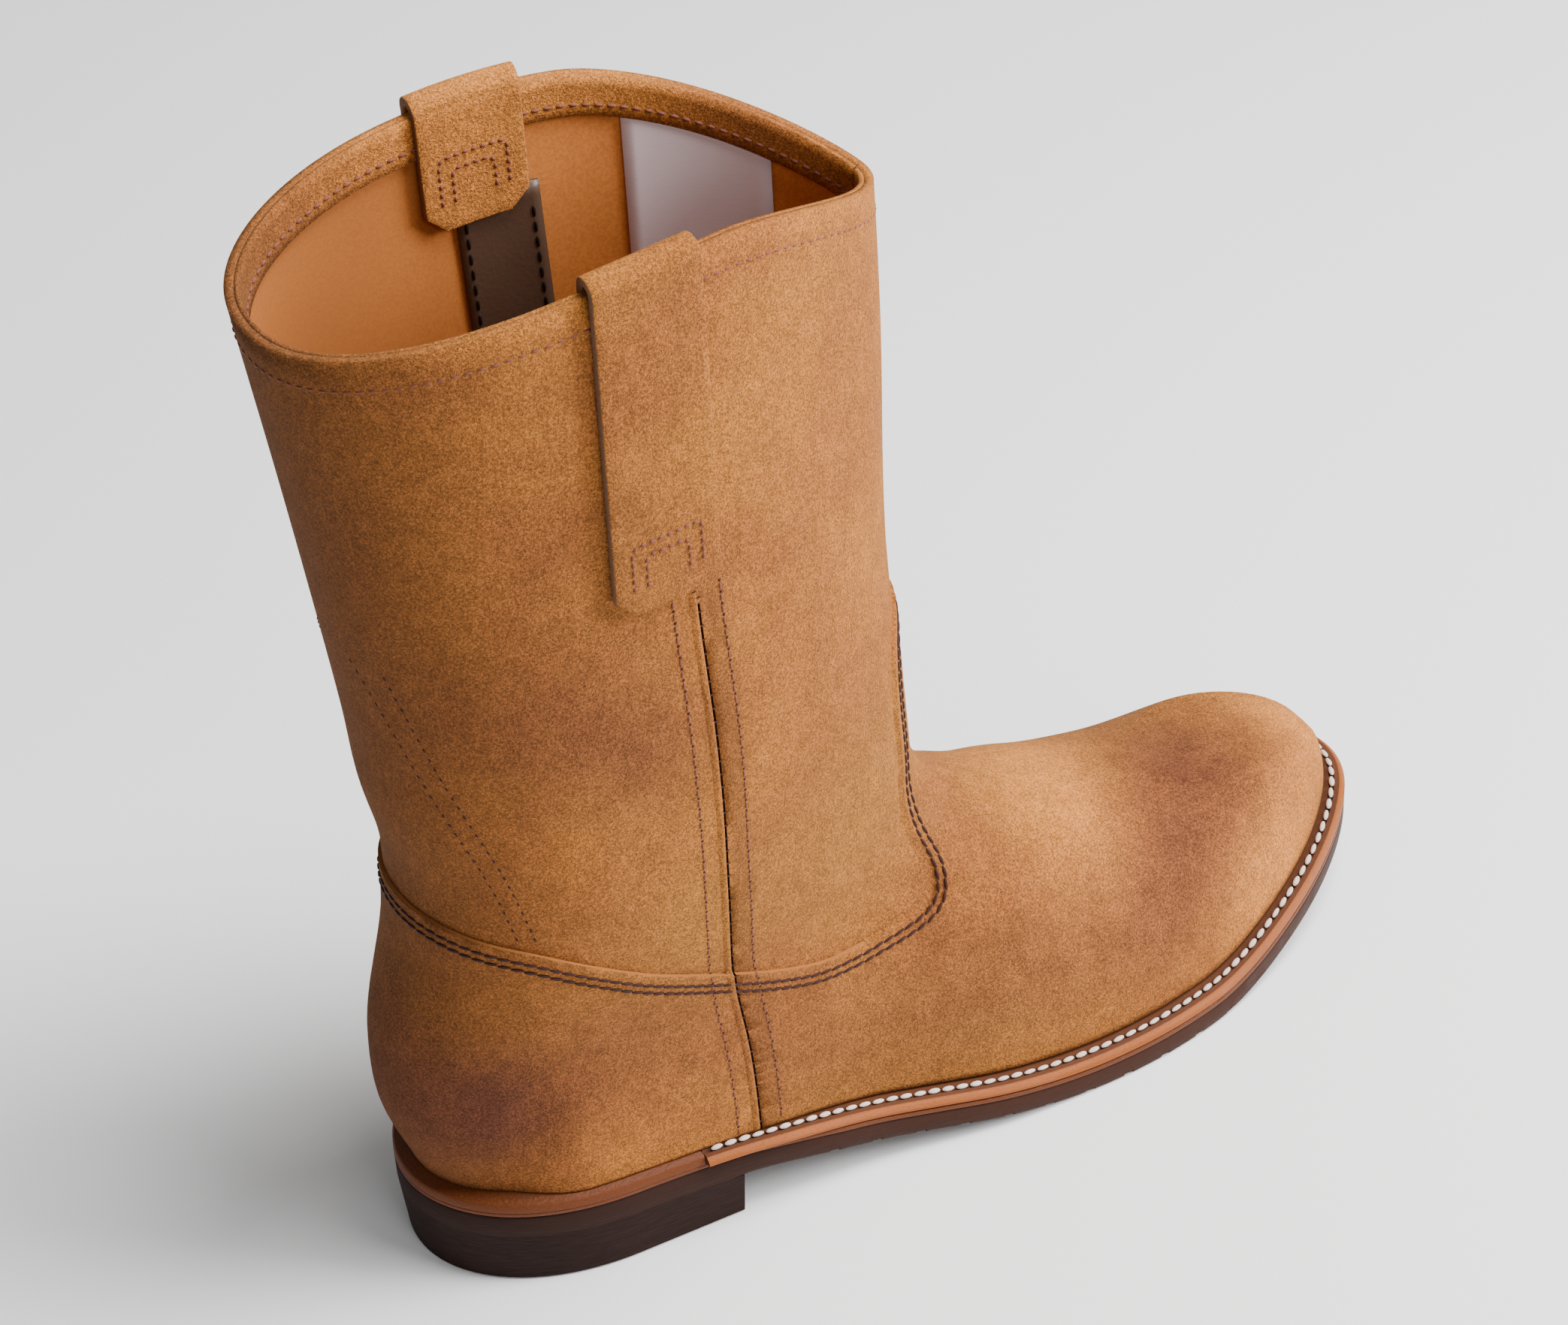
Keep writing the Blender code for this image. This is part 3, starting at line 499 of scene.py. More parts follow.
class Value:
    """A shader socket that can be added, multiplied and so on, in sums with others or with numbers."""

    def __init__(self, finish, socket):
        self.finish = finish
        self.socket = socket

    def sum(self, operation, first, second):
        return self.finish.node("Math", {"operation": operation}, {0: first, 1: second})

    def __add__(self, other):
        return self.sum("ADD", self, other)

    def __radd__(self, other):
        return self.sum("ADD", other, self)

    def __sub__(self, other):
        return self.sum("SUBTRACT", self, other)

    def __rsub__(self, other):
        return self.sum("SUBTRACT", other, self)

    def __mul__(self, other):
        return self.sum("MULTIPLY", self, other)

    def __rmul__(self, other):
        return self.sum("MULTIPLY", other, self)

    def __truediv__(self, other):
        return self.sum("DIVIDE", self, other)


class Finish:
    """A material and the few kinds of pattern that this boot's leather, rubber and thread need."""

    def __init__(self, name, roughness, sheen=0.0, coat=0.0, shine=0.35):
        self.material = bpy.data.materials.new(name)
        self.material.use_nodes = True
        self.tree = self.material.node_tree
        self.shader = self.tree.nodes["Principled BSDF"]
        self.shader.inputs["Roughness"].default_value = roughness
        self.shader.inputs["Sheen Weight"].default_value = sheen
        self.shader.inputs["Sheen Roughness"].default_value = 0.6
        self.shader.inputs["Sheen Tint"].default_value = (1.0, 0.62, 0.30, 1.0)
        self.shader.inputs["Coat Weight"].default_value = coat
        self.shader.inputs["Coat Roughness"].default_value = 0.35
        self.shader.inputs["Specular IOR Level"].default_value = shine
        self.place = self.node("TexCoord", output="Object")

    def node(self, kind, settings=None, values=None, output=0):
        """Adds a node: its settings first, then the values or links of its sockets."""
        made = self.tree.nodes.new("ShaderNode" + kind)
        for key, setting in (settings or {}).items():
            if key == "stops":
                for i, (position, colour) in enumerate(setting):
                    stop = made.color_ramp.elements[i] if i < 2 else made.color_ramp.elements.new(position)
                    stop.position = position
                    stop.color = colour
            else:
                setattr(made, key, setting)
        for key, value in (values or {}).items():
            if isinstance(value, Value):
                self.tree.links.new(value.socket, made.inputs[key])
            else:
                made.inputs[key].default_value = value
        return Value(self, made.outputs[output])

    def set(self, name, value):
        """Feeds a pattern or a constant to a socket of the shader."""
        if isinstance(value, Value):
            self.tree.links.new(value.socket, self.shader.inputs[name])
        else:
            self.shader.inputs[name].default_value = value

    def noise(self, scale, detail=2.0, roughness=0.5, stretch=(1, 1, 1)):
        place = self.place
        if stretch != (1, 1, 1):
            place = self.node("Mapping", None, {"Vector": self.place, "Scale": stretch})
        return self.node("TexNoise", None, {"Vector": place, "Scale": scale, "Detail": detail,
                                            "Roughness": roughness})

    def step(self, value, low, high, start=0.0, end=1.0):
        """Smooth ramp of a value between two limits."""
        return self.node("MapRange", {"interpolation_type": "SMOOTHSTEP"},
                         {"Value": value, "From Min": low, "From Max": high, "To Min": start, "To Max": end})

    def mix(self, factor, first, second, blend="MIX"):
        def colour(c):
            return c if isinstance(c, Value) else (*c, 1.0)
        return self.node("Mix", {"data_type": "RGBA", "blend_type": blend},
                         {0: factor, 6: colour(first), 7: colour(second)}, output=2)

    def spot(self, middle, radius, stretch=(1, 1, 1)):
        """1 at the middle of a soft round patch, 0 outside it."""
        moved = self.node("Mapping", None, {
            "Vector": self.place, "Location": tuple(-m * s for m, s in zip(middle, stretch)), "Scale": stretch})
        length = self.node("VectorMath", {"operation": "LENGTH"}, {0: moved}, output="Value")
        return self.step(length, 0.0, radius, 1.0, 0.0)

    def bump(self, height, distance, strength=1.0):
        bump = self.node("Bump", None, {"Height": height, "Distance": distance, "Strength": strength})
        self.set("Normal", bump)


def finish_piece(name, bm, materials, bevel=0.0, smooth_angle=40):
    """Makes the piece from its bmesh, with rounded edges, riding on the boot's one body."""
    mesh = bpy.data.meshes.new(name)
    bm.to_mesh(mesh)
    bm.free()
    piece = bpy.data.objects.new(name, mesh)
    bpy.context.scene.collection.objects.link(piece)
    for material in materials:
        mesh.materials.append(material)
    mesh.shade_smooth()
    mesh.set_sharp_from_angle(angle=math.radians(smooth_angle))
    if bevel:
        modifier = piece.modifiers.new("edges", "BEVEL")
        modifier.width = bevel
        modifier.segments = 2
        modifier.limit_method = "ANGLE"
        modifier.angle_limit = math.radians(50)
    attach(piece, "root")
    return piece


def loft(sections, closed=True, capped=True):
    """Skin over a row of sections, each a list of points; ends that meet in a point are closed."""
    bm = bmesh.new()
    rings = [[bm.verts.new(point) for point in section] for section in sections]
    count = len(rings[0])
    for low, high in zip(rings, rings[1:]):
        for j in range(count if closed else count - 1):
            k = (j + 1) % count
            bm.faces.new((low[j], low[k], high[k], high[j]))
    if capped:
        bm.faces.new(rings[0][::-1])
        bm.faces.new(rings[-1])
    bmesh.ops.remove_doubles(bm, verts=bm.verts, dist=1e-6)
    bmesh.ops.dissolve_degenerate(bm, edges=bm.edges, dist=1e-7)
    if capped:
        bmesh.ops.recalc_face_normals(bm, faces=bm.faces)
    return bm


# The suede upper: one tall wall of tan roughout leather, flesh side out, from the feather line to
# the scalloped collar, sewn from a front and a back panel whose pressed-open seams run down the
# sides. Its inside is the smooth grain side.
SUEDE = (0.270, 0.090, 0.021)
SUEDE_PALE = (0.340, 0.122, 0.023)
# painted highlight: paler suede for the toe, the vamp and the far pull strap
SUEDE_PAINTED_HIGHLIGHT = (0.50, 0.182, 0.038)
# painted shade: darker suede for the back of the shaft and counter and for the strip beside the side seams
SUEDE_PAINTED_SHADE = (0.120, 0.040, 0.012)
SUEDE_OCHRE = (0.275, 0.108, 0.022)
SUEDE_BURNISH = (0.092, 0.027, 0.015)
LINING = (0.66, 0.220, 0.050)
LINING_PAINTED_SHADE = (0.25, 0.080, 0.016)
LINING_DEEP = (0.20, 0.062, 0.014)
UPPER_BANDS = (26, 18, 14, 20, 12, 12, 12)
UPPER_STATIONS = 78

# Burnished places, where the nap was brushed down dark: middle, radius, stretch, strength
BURNISHED = (
    ((0.203, 0.001, 0.062), 0.050, (1.0, 1.0, 1.0), 0.88),
    ((0.187, -0.020, 0.052), 0.036, (1.0, 1.0, 1.0), 0.55),
    ((0.167, -0.033, 0.042), 0.034, (0.8, 1.0, 1.0), 0.52),
    ((0.127, -0.037, 0.043), 0.040, (0.6, 1.0, 1.0), 0.42),
    ((0.070, -0.034, 0.045), 0.052, (0.8, 1.0, 1.0), 0.36),
    ((0.106, -0.014, 0.078), 0.040, (1.0, 1.0, 1.0), 0.34),
    ((0.176, 0.046, 0.040), 0.040, (0.8, 1.0, 1.0), 0.60),
    ((0.130, 0.040, 0.050), 0.036, (0.6, 1.0, 1.2), 0.36),
    ((-0.024, -0.027, 0.060), 0.031, (1.0, 1.0, 1.0), 0.90),
    ((-0.042, -0.008, 0.058), 0.040, (1.0, 1.0, 0.9), 0.85),
    ((0.004, -0.035, 0.070), 0.042, (0.7, 1.0, 1.1), 0.42),
    ((0.000, 0.036, 0.066), 0.042, (0.7, 1.0, 1.0), 0.70),
    ((0.006, -0.043, 0.178), 0.036, (1.0, 1.0, 1.0), 0.50),
    ((0.022, -0.044, 0.163), 0.032, (1.0, 1.0, 0.8), 0.40),
    ((-0.014, -0.037, 0.192), 0.034, (1.0, 1.0, 1.0), 0.30),
    ((0.010, -0.045, 0.227), 0.034, (1.0, 1.0, 0.7), 0.30),
    ((0.052, 0.044, 0.185), 0.038, (1.0, 1.0, 0.8), 0.50),
    ((0.084, 0.034, 0.165), 0.034, (1.0, 1.0, 1.0), 0.45),
)

# Yellower places, where the nap stands up
OCHRE_PLACES = (
    ((0.084, -0.030, 0.112), 0.050, (1.0, 1.0, 1.0), 0.85),
    ((0.100, -0.033, 0.030), 0.050, (0.6, 1.0, 1.4), 0.75),
    ((0.028, -0.036, 0.105), 0.050, (0.8, 1.0, 1.0), 0.60),
    ((0.140, 0.010, 0.070), 0.044, (1.0, 1.0, 1.0), 0.60),
)

# Paler places: painted highlight on the toe and vamp, and painted light on the far pull strap and collar, whose
# inner side lies in shade
HIGHLIGHT_PAINTED_PLACES = (
    ((0.155, -0.027, 0.056), 0.034, (1.0, 1.0, 1.0), 0.60),
    ((0.156, 0.006, 0.070), 0.038, (1.0, 1.0, 1.0), 0.70),
    ((0.215, -0.026, 0.032), 0.036, (1.0, 1.0, 1.0), 0.80),
    ((0.245, 0.010, 0.050), 0.036, (1.0, 1.0, 1.0), 0.90),
    ((0.222, -0.020, 0.034), 0.034, (1.0, 1.0, 1.0), 0.80),
    ((0.030, 0.044, 0.295), 0.060, (1.0, 1.0, 1.0), 0.95),
)

# Back of the shaft and counter, painted darker as shade where the boot faces away from the key light
SHADE_PAINTED_PLACES = (
    ((-0.060, 0.000, 0.260), 0.090, (1.0, 1.0, 0.35), 1.00),
    ((-0.054, 0.000, 0.150), 0.082, (1.0, 1.0, 0.40), 0.95),
    ((-0.052, 0.000, 0.060), 0.074, (1.0, 1.0, 0.60), 0.85),
)


def suede_finish(name, tone=1.0):
    """Napped suede: mottled tan, pale fibre ends, burnished and ochre places, painted highlights on the toe, vamp
    and far strap, painted shade at the back and beside the side seams, no gloss.
    """
    suede = Finish(name, 0.94, sheen=0.06, shine=0.10)
    cloud = suede.noise(22.0, 3.0, 0.55)
    mottle = suede.noise(110.0, 4.0, 0.60)
    brush = suede.noise(420.0, 3.0, 0.60, stretch=(1.0, 1.0, 0.5))
    grain = suede.noise(1500.0, 3.0, 0.70)
    fibre = suede.noise(3200.0, 2.0, 0.6)
    colour = suede.mix(suede.step(cloud, 0.36, 0.66), SUEDE, SUEDE_PALE)
    for middle, radius, stretch, strength in OCHRE_PLACES:
        colour = suede.mix(suede.spot(middle, radius, stretch) * strength, colour, SUEDE_OCHRE)
    # painted highlight on the toe, vamp and far pull strap
    for middle, radius, stretch, strength in HIGHLIGHT_PAINTED_PLACES:
        colour = suede.mix(suede.spot(middle, radius, stretch) * strength, colour, SUEDE_PAINTED_HIGHLIGHT)
    # painted shade at the back of the shaft and counter
    for middle, radius, stretch, strength in SHADE_PAINTED_PLACES:
        colour = suede.mix(suede.spot(middle, radius, stretch) * strength, colour, SUEDE_PAINTED_SHADE)
    for middle, radius, stretch, strength in BURNISHED:
        patch = suede.spot(middle, radius, stretch) * strength * (0.70 + 0.6 * mottle)
        colour = suede.mix(patch, colour, SUEDE_BURNISH)
    # painted shade in the sunken strip just ahead of each side seam
    seam = suede.node("Attribute", {"attribute_name": "seam_shade"}, output="Fac")
    colour = suede.mix(seam, colour, SUEDE_PAINTED_SHADE)
    for pattern, low, high, dark, bright in ((mottle, 0.34, 0.68, 1.06, 0.92), (brush, 0.34, 0.68, 0.92, 1.08),
                                             (grain, 0.34, 0.68, 0.62, 1.42), (fibre, 0.36, 0.66, 0.70, 1.32)):
        nap = suede.mix(suede.step(pattern, low, high), (dark,) * 3, (bright,) * 3)
        colour = suede.mix(1.0, colour, nap, "MULTIPLY")
    if tone != 1.0:
        colour = suede.mix(1.0, colour, (tone,) * 3, "MULTIPLY")
    suede.set("Base Color", colour)
    suede.set("Roughness", 0.86 + 0.12 * mottle)
    suede.bump(fibre * 0.5 + grain * 1.0 + brush * 0.5, 0.0007, 0.7)
    return suede.material


def lining_finish():
    """Smooth grain leather with faint pores and a soft shine, painted darker as shade inside the back of the shaft.
    """
    lining = Finish("smooth_lining", 0.6, shine=0.2)
    cloud = lining.noise(40.0, 3.0)
    pores = lining.noise(1100.0, 3.0, 0.7)
    colour = lining.mix(lining.step(cloud, 0.3, 0.7), LINING, tuple(0.82 * c for c in LINING))
    # painted shade on the inside of the shaft's back wall
    colour = lining.mix(lining.spot((-0.020, 0.030, 0.250), 0.085, (1.0, 1.0, 0.5)), colour, LINING_PAINTED_SHADE)
    colour = lining.mix(lining.step(pores, 0.35, 0.65) * 0.30, colour, LINING_DEEP)
    lining.set("Base Color", colour)
    lining.set("Roughness", 0.52 + 0.2 * cloud)
    lining.bump(pores, 0.00015, 0.4)
    return lining.material


def fine_levels(bands, last=7):
    """Levels of the rows of the fine surface, from the feather line up."""
    levels = [0.0]
    for band, rows in enumerate(bands[:last]):
        levels += [band + (i + 1) / rows for i in range(rows)]
    return np.array(levels)


def skin(levels, stations, out=0.0):
    """Open surface over the last at the given rows, creased, facing outwards."""
    points = upper_rows(levels, stations)
    swell = crease(points)
    bm = loft(points, closed=True, capped=False)
    bm.normal_update()
    if min(bm.faces, key=lambda f: f.calc_center_median().x).normal.x > 0:
        bmesh.ops.reverse_faces(bm, faces=bm.faces)
        bm.normal_update()
    where = np.array([v.co for v in bm.verts])
    lift = crease(where) + out
    for vert, rise, normal in zip(bm.verts, lift, [v.normal.copy() for v in bm.verts]):
        vert.co += normal * float(rise)
    return bm


def thicken(piece, thickness, outward=0.0, inner_material=0):
    modifier = piece.modifiers.new("thickness", "SOLIDIFY")
    modifier.thickness = thickness
    modifier.offset = 2 * outward / thickness - 1
    modifier.material_offset = inner_material
    modifier.material_offset_rim = 0


def cutter(name, bm, material=0):
    """A shape that only cuts others; the faces that it cuts take the piece's material of that number."""
    mesh = bpy.data.meshes.new(name)
    for face in bm.faces:
        face.material_index = material
    bm.to_mesh(mesh)
    for _ in range(3):
        mesh.materials.append(None)
    bm.free()
    thing = bpy.data.objects.new(name, mesh)
    bpy.context.scene.collection.objects.link(thing)
    return thing


def apply_all(piece, *cutters):
    """Applies a piece's modifiers and removes what cut it."""
    evaluated = piece.evaluated_get(bpy.context.evaluated_depsgraph_get())
    mesh = bpy.data.meshes.new_from_object(evaluated)
    piece.modifiers.clear()
    piece.data = mesh
    for thing in cutters:
        bpy.data.objects.remove(thing, do_unlink=True)


def boolean(piece, operation, other):
    modifier = piece.modifiers.new("cut", "BOOLEAN")
    modifier.operation = operation
    modifier.object = other
    modifier.solver = "EXACT"
    modifier.material_mode = "INDEX"


def seam_x(z):
    """Where the side seam runs at a height."""
    return LAST_BACK + SHAFT_LENGTH * smooth(SIDE_SEAM)((z - HEEL_SEAT) / SHAFT_BACK_HEIGHT)


def shade_beside_seams(bm):
    """Marks the strip just ahead of each side seam, where the panel's turned edge lies sunken, for painted shade."""
    mark = bm.loops.layers.float.new("seam_shade")
    places = np.array([vert.co for vert in bm.verts])
    ahead = places[:, 0] - seam_x(places[:, 2])
    shade = 0.55 * np.exp(-((ahead - SEAM_FOLD * 1.6) / (SEAM_FOLD * 1.1)) ** 2)
    shade[places[:, 2] > rim_at(places[:, 0])[0] - STRAP_DROP] = 0.0
    bm.verts.index_update()
    for face in bm.faces:
        for corner in face.loops:
            corner[mark] = float(shade[corner.vert.index])


def seam_groove(side):
    """Narrow channel between the two panels of the shaft; its walls take the painted shadow."""
    heights = np.linspace(HEEL_SEAT - 0.006, HEEL_SEAT + SHAFT_BACK_HEIGHT - STRAP_DROP + 0.006, 70)
    xs = seam_x(heights)
    step = np.where(heights < vamp_edge_height(xs), OVERLAY_STEP, 0.0)
    middle, _ = wall(xs, heights, side)
    half = SEAM_WIDTH / 2
    sections = []
    for (x, y, z), up in zip(middle, step):
        deep = y + side * (up - SEAM_DEPTH)
        clear = y + side * (up + 0.004)
        sections.append([(x - half, deep, z), (x + half, deep, z), (x + half, clear, z), (x - half, clear, z)])
    return cutter("seam_groove", loft(sections), material=2)


suede = suede_finish("suede")
lining = lining_finish()
# Painted shadow: near-black for the walls of the seam groove, where shade falls
groove_shadow = Finish("seam_groove_painted_shadow", 0.95, shine=0.1)
groove_shadow.set("Base Color", (0.045, 0.015, 0.006, 1.0))
upper_skin = skin(fine_levels(UPPER_BANDS), UPPER_STATIONS)
shade_beside_seams(upper_skin)
shaft = finish_piece("shaft", upper_skin, [suede, lining, groove_shadow.material], smooth_angle=60)
thicken(shaft, WALL, 0.0, inner_material=1)
grooves = [seam_groove(-1), seam_groove(1)]
for groove in grooves:
    boolean(shaft, "DIFFERENCE", groove)
apply_all(shaft, *grooves)
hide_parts("upper")

# Vamp and counter: the lower panels, lapped over the shaft with a raw cut edge that dips to the
# side seam, sweeps round the throat and runs up the front as a rounded tongue.
VAMP_BANDS = (26, 18, 14, 20, 12)


def prism(name, outline, sweep, material):
    """A flat outline swept straight along a vector."""
    bm = bmesh.new()
    face = bm.faces.new([bm.verts.new(point) for point in outline])
    swept = bmesh.ops.extrude_face_region(bm, geom=[face])
    bmesh.ops.translate(bm, vec=sweep, verts=[v for v in swept["geom"] if isinstance(v, bmesh.types.BMVert)])
    bmesh.ops.recalc_face_normals(bm, faces=bm.faces)
    return cutter(name, bm, material)


INNER_FLARE = 0.75


def tongue_outline(count, side):
    """Edge of the tongue seen from ahead as half width and height, from its side to its top; below
    the tongue it flares less on the inner side, where the last is narrower."""
    turn = np.concatenate([[0], np.cumsum(np.hypot(*np.diff(np.array(TONGUE_EDGE), axis=0).T))])
    along = np.linspace(0, turn[-1], count)
    half = smooth(list(zip(turn, [row[0] for row in TONGUE_EDGE])))(along)
    height = smooth(list(zip(turn, [row[1] for row in TONGUE_EDGE])))(along)
    flare = np.maximum(half - 1, 0) * (1.0 if side < 0 else INNER_FLARE)
    return (np.minimum(half, 1) + flare) * TONGUE_WIDTH / 2, HEEL_SEAT + height * TONGUE_HEIGHT


JOIN_X = LAST_BACK + 0.407 * LAST_LENGTH
vamp_levels = fine_levels(VAMP_BANDS, 5)
vamp_levels[0] = 0.01
vamp_skin = skin(vamp_levels, UPPER_STATIONS)
shade_beside_seams(vamp_skin)
raw_edge = Finish("raw_edge", 0.95, shine=0.1)
raw_edge.set("Base Color", raw_edge.mix(raw_edge.noise(900.0), (0.36, 0.145, 0.040), (0.25, 0.090, 0.024)))
vamp = finish_piece("vamp_and_counter", vamp_skin, [suede, raw_edge.material, groove_shadow.material],
                    smooth_angle=50)
thicken(vamp, OVERLAY_STEP + 0.0008, OVERLAY_STEP)
wide = 2 * BALL_WIDTH
edge_x = np.linspace(LAST_BACK - 0.1 * LAST_LENGTH, JOIN_X + 0.0005, 90)
side_view = [(x, -wide, float(vamp_edge_height(x))) for x in edge_x]
side_view += [(edge_x[-1], -wide, -HEEL_SEAT), (edge_x[0], -wide, -HEEL_SEAT)]
side_pattern = prism("side_pattern", side_view, (0, 2 * wide, 0), 1)
tongue_y, tongue_z = tongue_outline(80, -1)
inner_y, _ = tongue_outline(80, 1)
tongue_y[0] = inner_y[0] = wide
front_view = [(JOIN_X, -y, z) for y, z in zip(tongue_y, tongue_z)]
front_view += [(JOIN_X, y, z) for y, z in zip(inner_y[-2::-1], tongue_z[-2::-1])]
front_view += [(JOIN_X, wide, -HEEL_SEAT), (JOIN_X, -wide, -HEEL_SEAT)]
front_pattern = prism("front_pattern", front_view, (LAST_LENGTH, 0, 0), 0)
boolean(side_pattern, "UNION", front_pattern)
boolean(vamp, "INTERSECT", side_pattern)
grooves = [seam_groove(-1), seam_groove(1)]
for groove in grooves:
    boolean(vamp, "DIFFERENCE", groove)
apply_all(vamp, side_pattern, front_pattern, *grooves)
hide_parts("upper")


# Stitches: short runs of thread, each one a small bead sunk into the leather along its row.
def row_path(points, normals):
    """Length along a row and its points, for spacing stitches evenly."""
    points = np.asarray(points, float)
    normals = np.asarray(normals, float)
    length = np.concatenate([[0], np.cumsum(np.linalg.norm(np.diff(points, axis=0), axis=1))])
    return length, points, normals


def thread_finish(name, colour, roughness=0.6):
    thread = Finish(name, roughness, shine=0.12)
    twist = thread.noise(2600.0, 1.0, stretch=(1.0, 1.0, 1.0))
    thread.set("Base Color", thread.mix(twist, colour, tuple(0.6 * c for c in colour)))
    thread.bump(twist, 0.0001, 0.5)
    return thread.material


def stitch_rows(name, rows, pitch, fill, radius, material, sink=0.35, wobble=0.0, tilt=0.0, turned=False):
    """Rows of stitches: pitch apart, each as long as a share of the pitch; turned ones lie across the row."""
    rng = np.random.default_rng(7)
    bm = bmesh.new()
    for points, normals in rows:
        length, points, normals = row_path(points, normals)
        count = max(int(length[-1] / pitch), 1)
        for i in range(count):
            at = (i + 0.5) * length[-1] / count
            spot = Vector([float(np.interp(at, length, points[:, k])) for k in range(3)])
            ahead = Vector([float(np.interp(at + pitch / 3, length, points[:, k])) for k in range(3)])
            behind = Vector([float(np.interp(at - pitch / 3, length, points[:, k])) for k in range(3)])
            up = Vector([float(np.interp(at, length, normals[:, k])) for k in range(3)]).normalized()
            along = (ahead - behind).normalized()
            across = up.cross(along).normalized()
            along = across if turned else (along + across * tilt).normalized()
            across = up.cross(along).normalized()
            turn = Matrix((along, across, up)).transposed().to_4x4()
            size = radius * (1 + wobble * rng.uniform(-1, 1))
            shape = Matrix.Diagonal((pitch * fill / 2, size, size * 0.8, 1))
            place = Matrix.Translation(spot + up * size * (0.8 - 1.6 * sink)) @ turn @ shape
            bmesh.ops.create_uvsphere(bm, u_segments=6, v_segments=5, radius=1.0,
                                      matrix=place @ Matrix.Rotation(math.pi / 2, 4, "Y"))
    return finish_piece(name, bm, [material], smooth_angle=180)


def offset_rows(points, normals, distances):
    """Rows beside a row on the surface; positive distances lie to the left of its direction."""
    points = np.asarray(points, float)
    along = np.gradient(points, axis=0)
    along /= np.linalg.norm(along, axis=-1, keepdims=True) + 1e-12
    across = np.cross(normals, along)
    return [(points + across * d, normals) for d in distances]


def onto_form(points):
    """Slides points along the form's slope until they lie on its surface."""
    step = 1e-4
    points = np.array(points, float)
    for _ in range(8):
        x, y, z = points.T
        value = form(x, y, z)
        slope = np.stack([form(x + step, y, z) - form(x - step, y, z),
                          form(x, y + step, z) - form(x, y - step, z),
                          form(x, y, z + step) - form(x, y, z - step)], -1) / (2 * step)
        points -= slope * (value / ((slope ** 2).sum(-1) + 1e-9))[:, None]
    return points


def evenly(points, spacing):
    """The same path with a point every so often."""
    length = np.concatenate([[0], np.cumsum(np.linalg.norm(np.diff(points, axis=0), axis=1))])
    along = np.linspace(0, length[-1], max(int(length[-1] / spacing), 2))
    return np.stack([np.interp(along, length, points[:, k]) for k in range(3)], -1)


def vamp_edge():
    """Raw edge of the vamp on the form, from the back round the outer side and over the tongue to the back."""
    xs = np.linspace(LAST_BACK - 0.010, JOIN_X, 240)
    heights = vamp_edge_height(xs)
    keep = xs > shaft_edges(heights)[0] + 0.0004
    legs = []
    for side in (-1, 1):
        along = wall(xs[keep], heights[keep], side)[0]
        tongue_half, tongue_height = tongue_outline(240, side)
        inside = form(0 * tongue_half + JOIN_X + 0.0005, side * tongue_half, tongue_height) < 0
        half, height = tongue_half[inside], tongue_height[inside]
        low = 0 * half + JOIN_X
        x = reach(lambda at: form(at, side * half, height), low, low + 0.07)
        legs.append(np.concatenate([along, np.stack([x, side * half, height], -1)]))
    path = evenly(np.concatenate([legs[0], legs[1][::-1], legs[0][:1]]), 0.0008)
    for _ in range(4):
        path[1:-1] = (path[:-2] + 2 * path[1:-1] + path[2:]) / 4
    return onto_form(path)


def vamp_row(edge, below):
    """Row on the vamp at a set distance inside its raw edge."""
    _, normals = settle(edge, 0.0)
    along = np.gradient(edge, axis=0)
    down = np.cross(along, normals)
    down /= np.linalg.norm(down, axis=-1, keepdims=True)
    row = onto_form(edge + down * below)
    apart = np.linalg.norm(row[:, None] - edge[None], axis=-1).min(1)
    row = evenly(row[apart > 0.95 * below], 0.0008)
    for _ in range(6):
        row[1:-1] = (row[:-2] + 2 * row[1:-1] + row[2:]) / 4
    return settle(onto_form(row), OVERLAY_STEP)


DARK_THREAD = (0.046, 0.015, 0.011)
MAUVE_THREAD = (0.21, 0.070, 0.048)
dark_thread = thread_finish("dark_thread", DARK_THREAD)
mauve_thread = thread_finish("mauve_thread", MAUVE_THREAD)
edge_path = vamp_edge()
vamp_rows = [vamp_row(edge_path, below) for below in (0.0032, 0.0056)]
stitch_rows("vamp_stitches", vamp_rows, 0.0033, 1.05, 0.00054, dark_thread, sink=0.45, tilt=0.14)


def on_panels(xs, heights, side, out=0.0):
    """Points on the outside of the shaft or, below its edge, of the vamp."""
    raised = OVERLAY_STEP * (heights < vamp_edge_height(xs))
    points, normals = wall(xs, heights, side)
    return points + normals * (out + raised)[..., None], normals


# Side seams: the back panel's edge is folded over and stands up beside the crack, which small
# dark whip stitches cross; a row of stitches runs down either side of it.
seam_heights = np.linspace(0.0262, HEEL_SEAT + SHAFT_BACK_HEIGHT - STRAP_DROP + 0.010, 150)
fold_profile = ((-1.05, -0.0004), (-0.75, 0.0001), (-0.50, 0.0004), (-0.28, 0.0005), (-0.10, 0.0003),
                (-0.02, -0.0001), (-0.01, -0.0008))
for side, where in ((-1, "lateral"), (1, "medial")):
    sections = []
    for share, out in fold_profile:
        xs = seam_x(seam_heights) + SEAM_WIDTH / 8 + share * SEAM_FOLD
        sections.append(on_panels(xs, seam_heights, side, out + 0 * xs)[0])
    bm = loft(np.stack(sections, 1), closed=False, capped=False)
    bm.normal_update()
    if sum(face.normal.y for face in bm.faces) * side < 0:
        bmesh.ops.reverse_faces(bm, faces=bm.faces)
    finish_piece("seam_fold_" + where, bm, [suede], smooth_angle=180)

